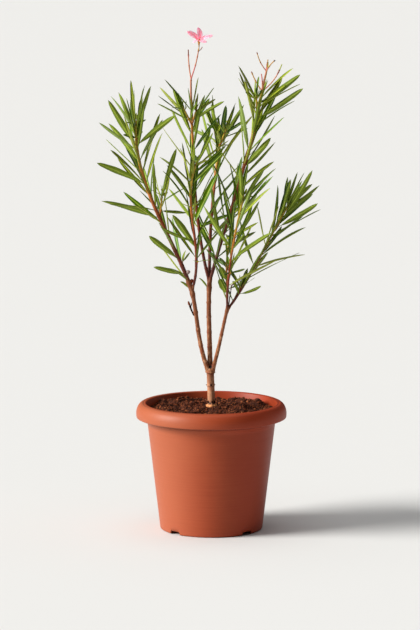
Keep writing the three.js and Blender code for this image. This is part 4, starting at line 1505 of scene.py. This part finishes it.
def section_object(name, section):
    """A closed outline. Its points know how far across, into the fold and through the skin they lie."""
    across, fold, skin = np.array(section[::-1]).T
    mesh = bpy.data.meshes.new(name)
    count = len(section)
    turns = np.arange(count) * 2 * math.pi / count
    places = np.stack([-np.cos(turns), np.sin(turns), 0 * turns], axis=1)
    mesh.from_pydata(places, [(i, (i + 1) % count) for i in range(count)], [])
    for key, values in (("across", across), ("folded", fold), ("skin", skin)):
        mesh.attributes.new(key, "FLOAT", "POINT").data.foreach_set("value", values)
    return linked(name, mesh)


def blade_tree(name, finishes):
    """Grows a blade on each rail. Its tone picks a row of three finishes: upper side, underside, midrib."""
    tree, net, given = new_tree(name, {"Section": "Object"})

    def vector(key):
        return named(net, key, "FLOAT_VECTOR")

    lines = net("GeometryNodeMeshToCurve", values={"Mesh": given["Geometry"]})
    lines = stored(net, lines, "spine", "FLOAT_VECTOR", "POINT", net("GeometryNodeInputPosition"))
    outline = net("GeometryNodeObjectInfo", values={"Object": given["Section"]}, out="Geometry")
    outline = net("GeometryNodeMeshToCurve", values={"Mesh": outline})
    values = {"Curve": lines, "Profile Curve": outline, "Scale": MM, "Fill Caps": True}
    blade = net("GeometryNodeCurveToMesh", values=values)
    across, folded, skin = named(net, "across"), named(net, "folded"), named(net, "skin")
    place = vector("spine") + vector("wide") * across + vector("fold") * folded + vector("depth") * skin
    blade = net("GeometryNodeSetPosition", values={"Geometry": blade, "Position": place})
    blade = net("GeometryNodeSetShadeSmooth", values={"Geometry": blade})
    margin = {"Geometry": blade, "Selection": across.size() > 0.99, "Shade Smooth": False}
    blade = net("GeometryNodeSetShadeSmooth", {"domain": "EDGE"}, margin)
    petiole = named(net, "share") < PETIOLE_SHARE / 2
    rib = (across.size() < MIDRIB_SHARE).maths("MAXIMUM", petiole)
    under = (skin < 0) * (1 - rib)
    chosen = named(net, "tone", "INT") * 3 + under + rib * 2
    finished_tree(net, painted(net, blade, finishes, chosen))
    return tree


def leaf_outline(share):
    """Half the leaf's width along its length, as a share of the widest."""
    along_leaf = share ** OUTLINE_SKEW
    body = (4 * along_leaf * (1 - along_leaf)) ** OUTLINE_POWER
    stalk = PETIOLE_HALF * (1 - share)
    start = np.clip(share / BODY_START, 0, 1)
    return np.maximum(body * start * start * (3 - 2 * start), stalk)


print("points round a leaf's section:", len(SECTION))

# %% [markdown]
# The upper side is glossy, the underside is dull and greyer, and the midrib is pale. Painted shade darkens
# both sides towards the margin. Five plain tones with these three finishes each are enough, since light and
# bend do the rest.

# %% Leaves: finishes
LEAF_TONES = {
    "deep": ("3A5204", "647620", "869636"),
    "middle": ("547806", "768A2A", "A2B240"),
    "olive": ("6E7E10", "868F3A", "ACB448"),
    "fresh": ("92A41E", "A0AA3A", "C0C650"),
    "cool": ("4C7622", "7A8E46", "9CB058"),
}
GLOSSY, DULL = {"Specular IOR Level": 0.16}, {"Specular IOR Level": 0.12}

# the last number of a blade's finish is how much painted shade darkens it towards the margin
leaf_finishes = []
for name, (upper, under, rib) in LEAF_TONES.items():
    leaf_finishes += [
        mottled(f"leaf_{name}_upper", upper, 0.16, 1.6, 0.3, 0.08, GLOSSY, 0.36),
        mottled(f"leaf_{name}_under", under, 0.1, 1.2, 0.6, 0.1, DULL, 0.18),
        mottled(f"leaf_{name}_midrib", rib, 0.08, 1.2, 0.5, 0.05, GLOSSY),
    ]
print("leaf finishes:", len(leaf_finishes))

# %% [markdown]
# Old leaves low on a shoot are dark, and the tips are fresh yellow-green. Each leaf gets one of the five
# tones. The chances shift from low to high on its shoot, and a fixed seed makes the same choice each time.
# The blades twist, ripple and fold a little, and they end just short of the rule's tip.

# %% Leaves: grow them
LOW_CHANCES = np.array((0.42, 0.36, 0.15, 0.02, 0.05))
TOP_CHANCES = np.array((0.2, 0.32, 0.25, 0.12, 0.11))
FOLD = (0.12, 0.5)
BREADTH = (0.66, 1.1)
FRONT_NARROWING = 0.4
BLADE_REACH = 0.93
SINGLE_LEAF_TONE = 1
TWIST = 44
RIPPLE = 0.05
RIPPLE_WAVES = (9, 16)
RIPPLE_START = (0, 6)
TWIST_FREE = 0.35
FULL_LENGTH = 60


def leaf_rail(leaf, random):
    """The rail of one leaf: its midrib, and at each point its width, fold and thickness."""
    share = np.linspace(0, 1, BLADE_STEPS + 1)
    leaf.length = leaf.length * BLADE_REACH
    high = 1.0 if leaf.young else leaf.t
    tone = int(random.choice(len(LEAF_TONES), p=LOW_CHANCES * (1 - high) + TOP_CHANCES * high))
    twist = np.radians(random.uniform(-TWIST, TWIST)) * (share - TWIST_FREE)[:, None]
    heading = leaf.heading(share)
    upward = unit(np.cross(heading, leaf.across))
    across = leaf.across * np.cos(twist) + upward * np.sin(twist)
    upward = unit(np.cross(heading, across))
    ripple = 1 + RIPPLE * np.sin(share * random.uniform(*RIPPLE_WAVES) + random.uniform(*RIPPLE_START))
    least, most = BREADTH
    front = max(0.0, -leaf.outward(leaf.az)[1])
    breadth = (least + (most - least) * random.random() ** 2) * (1 - FRONT_NARROWING * front ** 2)
    if isinstance(leaf, SingleLeaf):
        breadth, tone = 1.0, SINGLE_LEAF_TONE
    half = leaf.width / 2 * breadth * leaf_outline(share) * ripple
    fold = half * random.uniform(*FOLD)
    skin = np.clip(1.9 - 2.2 * share, 0.6, 2.0) * np.clip(leaf.length / FULL_LENGTH, 0.5, 1)
    return {
        "place": leaf.midrib(BLADE_STEPS),
        "wide": across * half[:, None] * MM,
        "fold": upward * fold[:, None] * MM,
        "depth": upward * (BLADE_HALF_THICKNESS * skin)[:, None] * MM,
        "share": share,
        "tone": np.full(len(share), tone),
    }


def picked_off(leaf):
    """Whether a leaf, once its rail is made, ends at a place where none is wanted."""
    tip = leaf.midrib(BLADE_STEPS)[-1]
    return any(np.linalg.norm(tip - place) < PICK_REACH for place in PICKED_OFF)


section = section_object("leaf_section", SECTION)
leaf_tree = blade_tree("grow_leaves", leaf_finishes)
random, side_random = np.random.default_rng(21), np.random.default_rng(5)
for name in MASSES:
    of_mass = [entry["leaf"] for entry in placed if entry["mass"] == name] + set_by_hand(LOW_LEAVES, name)
    whole = [leaf_rail(leaf, random) for leaf in of_mass]
    lines = [line for line, leaf in zip(whole, of_mass) if not picked_off(leaf)]
    lines += [leaf_rail(leaf, side_random) for leaf in set_by_hand(SIDE_LEAVES, name)]
    leaf_rails = rails(name + "_rails", lines)
    leaves = grown(name.replace("foliage", "leaves"), leaf_rails, leaf_tree, Section=section)
    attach(leaves, "root")
    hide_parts(name)
bpy.data.objects.remove(section)

# %% [markdown]
# The young limbs are smooth and change colour as they age: red-brown where they fork, rust in the middle
# and yellow-green under the top leaves. Each point of a rail holds one of these plain tones. A low ring
# stands at each whorl, and below the first whorl the rings of fallen leaves remain.

# %% Young stems
STEM_TONES = "5A200E 84340F B26A1E B2962E"
YOUNG_STEP = 1.6
STUB_HIDDEN = 6
SCAR_SPACING = 24
SCAR_GAP = 5
SCAR_RISE = 0.14
SCAR_WIDTH = 1.5
STOUTER, STOUTER_FROM = 0.25, 10
SUNK, SUNK_UP_TO = 0.5, 6


def whorl_places(shoot):
    """How far up its stem each whorl stands, in millimetres."""
    t = np.arange(shoot["whorls"]) / max(1, shoot["whorls"] - 1)
    return whorl_share(shoot, t) * shoot["stem"].length


def young_line(stem, start, places):
    """The rail of a young stem with a ring at each place. It hides its foot in the old wood."""
    rings = [(place, SCAR_RISE * stem.radius(place / stem.length), SCAR_WIDTH) for place in places]
    line = ringed(stem, start, stem.length, YOUNG_STEP, rings)
    share = np.linspace(start / stem.length, 1, len(line["place"]))
    fresh = stem.fresh
    line["age"] = np.interp(share, [0, fresh * 0.45, fresh, (1 + fresh) / 2, 1], [0, 0.5, 1.5, 2.5, 3])
    reach = share * stem.length - start
    line["thick"] = line["thick"] + STOUTER * MM * np.clip(reach / STOUTER_FROM, 0, 1)
    line["thick"] = line["thick"] - SUNK * MM * np.clip(1 - reach / SUNK_UP_TO, 0, 1) * (start > 0)
    return line


young_bark = mottled("young_bark", STEM_TONES, 0.22, 1.4, 0.5, 0.15, {"Specular IOR Level": 0.4})
stem_lines = []
for seed, reach, shoots in MASSES.values():
    for i, shoot in enumerate(shoots):
        places = whorl_places(shoot)
        scars = np.arange(SCAR_SPACING, places[0] - SCAR_GAP, SCAR_SPACING) if i == 0 else []
        start = STUB_HIDDEN if i == 0 else 0
        stem_lines.append(young_line(shoot["stem"], start, [*scars, *places]))
stem_lines += [young_line(twig, 0, []) for twig in fine_twigs]
stems = swept("young_stems", stem_lines, [young_bark], 12, 0.25)
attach(stems, "root")
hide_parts("centre_left_limb", "centre_middle_limb", "centre_right_limb")

# %% [markdown]
# Flower stalks are thin and salmon pink, with a small joint here and there. The spent ones end in dry ochre
# tips. They are swept by the same tree as the stems, on rails that bow a little.

# %% Flower stalks
STALK_TONES = ["C07A5A", "C96C66", "84482F", "B98A44", "5E4438", "A3A94A"]
SALMON, PINK, DRY, OCHRE, GREY, POD = range(6)
STALK_STEP = 1.5
JOINT_RISE = 0.45
JOINT_WIDTH = 1.3
STALKS = FLOWER_STALKS + SPENT_STALKS + [((80, 2, 702), (78.6, 1, 728))]
STALK_LOOKS = [
    ((1.7, 1.45), [(0, SALMON)], [0.95], 0.3),
    ((1.05, 0.9), [(0, PINK), (0.4, SALMON), (0.86, OCHRE)], [0.04, 0.44, 0.7, 0.9], -1.6),
    ((1.05, 0.9), [(0, SALMON), (0.78, DRY)], [0.45, 0.8, 1.0], 1.2),
    ((1.7, 1.3), [(0, SALMON)], [0.45, 0.97], 0.5),
    ((0.9, 0.7), [(0, SALMON), (0.5, OCHRE), (0.9, DRY)], [0.5, 0.97], 2.2),
    ((1.1, 0.8), [(0, PINK), (0.35, SALMON), (0.75, OCHRE)], [0.2, 0.6], 0.4),
    ((1.0, 0.85), [(0, SALMON), (0.3, OCHRE), (0.92, GREY)], [0.4, 0.92], 1.4),
    ((1.0, 0.8), [(0, SALMON), (0.4, OCHRE), (0.9, DRY)], [0.55, 0.9], 1.5),
    ((0.95, 0.9), [(0, SALMON), (0.66, DRY), (0.82, POD)], [0.74, 0.8], -4.2),
    ((1.1, 0.8), [(0, SALMON), (0.5, PINK)], [0.1, 1.0], -0.8),
]


def stalk_line(foot, tip, thick, tones, joints, bow):
    """A bowed stalk. tones are pairs of the share where a tone starts and the tone."""
    foot, tip = np.array(foot, float), np.array(tip, float)
    count = max(4, int(np.linalg.norm(tip - foot) / STALK_STEP))
    share = np.linspace(0, 1, count + 1)
    side = unit(np.cross(tip - foot, (0.3, 1, 0.1)))
    place = foot + (tip - foot) * share[:, None] + side * (bow * np.sin(np.pi * share))[:, None]
    radius = between(*thick, share)
    for joint in joints:
        radius = radius + JOINT_RISE * np.exp(-((share - joint) * count * STALK_STEP / JOINT_WIDTH) ** 2)
    radius[-1] *= 0.5
    tone = np.zeros(len(share), int)
    for start, number in tones:
        tone[share >= start] = number
    return {"place": place, "thick": radius * MM, "tone": tone}


flower_stalk_lines = [stalk_line(*ends, *looks) for ends, looks in zip(STALKS, STALK_LOOKS)]
stalk_finishes = [
    mottled(f"stalk_{i}", code, 0.14, 1.0, 0.5, 0.08, {"Specular IOR Level": 0.4})
    for i, code in enumerate(STALK_TONES)
]
stalks = swept("flower_stalks", flower_stalk_lines, stalk_finishes, 10, 0.1)
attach(stalks, "root")

# %% [markdown]
# The flower has a narrow golden tube and five broad pink petals that open from its throat. A petal is a
# blade like a leaf, so the same tree grows it, with a rounder outline, a curl outwards and a section without
# a keel. Its row of three finishes is pale pink, deeper pink behind and a streak down the middle.

# %% Flower: petals
FLOWER_TILT = 22
TUBE_LENGTH = 13
PETAL_STEPS = 14
THROAT_SHARE = 0.2
PETALS = [
    {"turn": 90, "lean": (18, 44), "twist": 0.3, "length": 21.5, "half": 5.0, "sway": 0.7},
    {"turn": 164, "lean": (38, 66), "twist": -1.05, "length": 24, "half": 4.8, "sway": 0.4},
    {"turn": 236, "lean": (60, 92), "twist": 0.5, "length": 16.5, "half": 4.6, "sway": 0.5},
    {"turn": 308, "lean": (54, 98), "twist": 0.0, "length": 18.5, "half": 5.6, "sway": 0.5},
    {"turn": 12, "lean": (50, 90), "twist": 0.1, "length": 24, "half": 5.8, "sway": 0.5},
]
PETAL_SECTION = [
    (-1.0, 1.0, 0.0), (-0.7, 0.55, 1.0), (-0.35, 0.16, 1.0), (-0.09, 0.0, 1.0), (0.09, 0.0, 1.0),
    (0.35, 0.16, 1.0), (0.7, 0.55, 1.0), (1.0, 1.0, 0.0), (0.7, 0.55, -1.0), (0.35, 0.16, -1.0),
    (0.09, 0.0, -1.0), (-0.09, 0.0, -1.0), (-0.35, 0.16, -1.0), (-0.7, 0.55, -1.0),
]
tilt = math.radians(FLOWER_TILT)
FLOWER_AXIS = np.array((0, -math.sin(tilt), math.cos(tilt)))
FLOWER_RIGHT = np.array((1.0, 0, 0))
FLOWER_REAR = np.cross(FLOWER_AXIS, FLOWER_RIGHT)
THROAT = np.array(FLOWER_BASE) + FLOWER_AXIS * TUBE_LENGTH


def petal_rail(petal):
    """The rail of a petal. It opens from the throat, bows to the side and twists on its way to the tip."""
    share = np.sin(np.linspace(0, math.pi / 2, PETAL_STEPS + 1))
    turn = math.radians(petal["turn"])
    outward = FLOWER_RIGHT * math.cos(turn) + FLOWER_REAR * math.sin(turn)
    lean = np.radians(between(*petal["lean"], share ** 0.8))
    heading = outward * np.sin(lean)[:, None] + FLOWER_AXIS * np.cos(lean)[:, None]
    steps = (heading[1:] + heading[:-1]) / 2 * (petal["length"] * np.diff(share))[:, None]
    foot = THROAT - FLOWER_AXIS * 2
    place = np.concatenate([[foot], foot + np.cumsum(steps, axis=0)])
    twist = (petal["twist"] * np.sqrt(share))[:, None]
    level = np.cross(FLOWER_AXIS, outward) * np.ones((len(share), 1))
    bow = np.sin(math.pi * share ** 0.8) - 0.7 * share ** 3
    place = place - level * (petal["sway"] * 2.4 * bow)[:, None]
    upward = unit(np.cross(heading, level))
    across = level * np.cos(twist) + upward * np.sin(twist)
    upward = unit(np.cross(heading, across))
    body = 0.45 + 0.55 * np.sin(np.clip(share / 0.62, 0, 1) * math.pi / 2)
    half = np.maximum(petal["half"] * body * np.sqrt(1 - share ** 4), 0.4)
    curl = half * (0.5 - 0.7 * share)
    return {
        "place": place,
        "wide": across * half[:, None] * MM,
        "fold": upward * curl[:, None] * MM,
        "depth": upward * 0.2 * MM,
        "share": np.full(len(share), 1.0),
        "tone": np.where(share < THROAT_SHARE, 0, 1),
    }


# Subsurface lets light through the thin petals, and a faint emission paints a glow on them as if lit through.
translucent_with_glow = {
    "Subsurface Weight": 1.0, "Subsurface Radius": (1.2 * MM, 0.5 * MM, 0.6 * MM), "Subsurface Scale": 1.0,
    "Emission Color": colour("FFA09A"), "Emission Strength": 0.13,
}
petal_finishes = [
    mottled("petal_throat", "F0805A", 0.1, 1.5, 0.55, 0.05),
    mottled("petal_throat_back", "E4726A", 0.1, 1.5, 0.55, 0.05),
    mottled("petal_throat_line", "E2553C", 0.1, 1.5, 0.55, 0.05),
    mottled("petal_pink", "FFB0C2", 0.07, 2.0, 0.55, 0.08, translucent_with_glow),
    mottled("petal_back", "FFA0B4", 0.08, 2.0, 0.6, 0.08, translucent_with_glow),
    mottled("petal_streak", "EE5C88", 0.08, 2.0, 0.55, 0.05, translucent_with_glow),
]
section = section_object("petal_section", PETAL_SECTION)
petal_rails = rails("petal_rails", [petal_rail(petal) for petal in PETALS])
petals = grown("petals", petal_rails, blade_tree("grow_petals", petal_finishes), Section=section)
bpy.data.objects.remove(section)
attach(petals, "root")

# %% [markdown]
# Under the petals stands the flower's golden tube, which widens upwards from its stalk. It is swept like a
# stem, and its tones follow each other from the foot to the throat, where it turns salmon.

# %% Flower: the tube
TUBE_TONES = "8A6A1A B07A22 C8882C E88450"
TUBE_STEPS = 13


def tube_line():
    """The rail of the flower's tube."""
    share = np.linspace(0, 1, TUBE_STEPS + 1)
    place = np.array(FLOWER_BASE) + FLOWER_AXIS * (TUBE_LENGTH * share)[:, None]
    thick = 0.75 + 2.4 * share ** 1.5
    return {"place": place, "thick": thick * MM, "tone": np.zeros(len(share), int), "age": share * 3}


golden = mottled("flower_tube", TUBE_TONES, 0.1, 1.0, 0.55, 0.05)
tube = swept("flower_tube", [tube_line()], [golden], 20)
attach(tube, "root")

# %% [markdown]
# Small things tell that the plant is real: a dry curled stub on the left bough, a bud and the knob of a cut
# branch near its fork, a dead twig at the right fork, and the pale ring of callus round the trunk's foot.
# Each is a short bent rail with a few listed points.

# %% Dry twigs, knobs and the callus ring
DRY_TONES = ["30140A", "6A3820", "7A3218", "A08A86", "DE9662"]
DRY_DARK, DRY_BROWN, KNOB_BROWN, BUD_GREY, CALLUS = range(5)
BITS = [
    # the curled stub on the left bough, and its two ends
    (DRY_DARK, [(-27.2, -6, 344), (-29.6, -6, 348), (-32, -7, 353.7), (-34.4, -7, 360.6)],
     (1.6, 1.3, 1.4, 1.9)),
    (DRY_BROWN, [(-34.4, -7, 360.6), (-35.6, -7, 363.4), (-36.6, -6, 367)], (1.8, 1.9, 1.2)),
    (DRY_DARK, [(-33.4, -7, 357.5), (-32, -7.5, 361), (-31.2, -7.5, 365.4)], (1.3, 0.9, 0.5)),
    # the knob of a cut branch, the bud above it and the bract under the flower
    (KNOB_BROWN, [(-33, -13.5, 396), (-31.2, -15, 400.8), (-30.2, -15, 403.8)], (2.4, 2.8, 1.8)),
    (BUD_GREY, [(-38.5, -15, 412), (-36.6, -17, 415.4), (-35.8, -17, 418)], (2.0, 3.4, 2.8)),
    (BUD_GREY, [(-20, 66, 758), (-18, 66, 759.8), (-16.2, 66, 762), (-14.2, 66, 765)], (0.6, 0.7, 1.1, 0.7)),
    # the dead twig at the right fork, in two stretches
    (DRY_DARK, [(26.4, -12, 357), (27.4, -12, 361.4), (28.9, -11, 372.3), (30.9, -10, 384.6)],
     (1.2, 1.0, 0.9, 1.0)),
    (DRY_BROWN, [(30.9, -10, 384.6), (31.5, -10, 392.3), (35.7, -10, 395.7), (45.2, -10, 401.9)],
     (0.9, 1.0, 0.7, 0.5)),
    # a knot in the trunk and two leaf scars on the centre bough
    (DRY_DARK, [(-2.4, -5.6, 232.6), (-0.8, -6.1, 232.2), (0.8, -5.7, 232.6)], (0.6, 1.3, 0.6)),
    (DRY_BROWN, [(-2.0, 6.5, 362.4), (-1.0, 5.2, 362.0)], (1.3, 1.1)),
    (DRY_BROWN, [(-3.6, 7.0, 352.2), (-3.3, 5.2, 351.6)], (1.0, 0.8)),
]
SKIRT_TURNS = (60, 150, 205, 283, 332)
SKIRT_POINTS = [(5.4, 10.6), (5.9, 8.4), (4.9, 6.6)]
SCAR_TURNS = (5, 95, 185, 280)
SCAR_HEIGHT, SCAR_RADIUS, SCAR_LENGTH = 35.2, 4.8, 2.7
CALLUS_RADIUS, CALLUS_HEIGHT, CALLUS_THICK = 5.7, 1.8, 2.9


def callus_line():
    """A lumpy ring round the foot of the trunk."""
    turns = np.linspace(0, 2 * math.pi, 49)
    wave = 0.35 * np.sin(3 * turns + 1) + 0.2 * np.sin(7 * turns)
    radius, height = CALLUS_RADIUS + wave, TRUNK_FOOT + CALLUS_HEIGHT + 0.4 * wave
    place = np.stack([radius * np.cos(turns), radius * np.sin(turns) - 0.6, height], axis=1)
    return {"place": place, "thick": (CALLUS_THICK + 0.5 * wave) * MM, "tone": np.full(len(turns), CALLUS)}


def outwards(degrees):
    """A level direction, as steps along X and Y."""
    return np.array((math.cos(math.radians(degrees)), math.sin(math.radians(degrees)), 0))


dry_lines = [bent_line(points, radii, tone) for tone, points, radii in BITS] + [callus_line()]
for turn in SKIRT_TURNS:
    points = [outwards(turn) * radius + (0, 0, TRUNK_FOOT + rise) for radius, rise in SKIRT_POINTS]
    dry_lines.append(bent_line(points, (0.8, 1.4, 0.8), DRY_DARK))
for turn in SCAR_TURNS:
    foot = outwards(turn) * SCAR_RADIUS + (-1.2, 0, TRUNK_FOOT + SCAR_HEIGHT)
    tip = foot + outwards(turn) * SCAR_LENGTH + (0, 0, 1.3)
    dry_lines.append(bent_line([foot, tip], (1.2, 0.4), DRY_DARK))
dry_finishes = [
    mottled(f"dry_{i}", code, 0.3, 1.2, 0.8, 0.2, {"Specular IOR Level": 0.15})
    for i, code in enumerate(DRY_TONES)
]
dry = swept("dry_twigs", dry_lines, dry_finishes, 10, 0.5)
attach(dry, "root")

# %% [markdown]
# The floor is plain, pale and very wide, so that it fills the view behind the plant. It isn't part of the
# object.

# %% Floor
FLOOR_RADIUS = 60
FLOOR_DROP = 0.4
FLOOR_PALE = colour("DFDFDE")

turns = np.radians(range(0, 360, 5))
corners = [(math.cos(a) * FLOOR_RADIUS, math.sin(a) * FLOOR_RADIUS, -FLOOR_DROP * MM) for a in turns]
floor_mesh = bpy.data.meshes.new("floor")
floor_mesh.from_pydata(corners, [], [tuple(range(len(corners)))])
floor = linked("floor", floor_mesh)


def pale_floor(net, place):
    """What varies on the floor: only its gloss, a little."""
    wear = net.noise(place, 3, 2.0)
    return {"Base Color": FLOOR_PALE, "Roughness": 0.85 + (wear - 0.5) * 0.1}


floor_mesh.materials.append(finish("pale_floor", pale_floor, {"Specular IOR Level": 0.1}))
print("floor radius:", FLOOR_RADIUS, "m")

# %% [markdown]
# The visual model may not outgrow the frame's box.
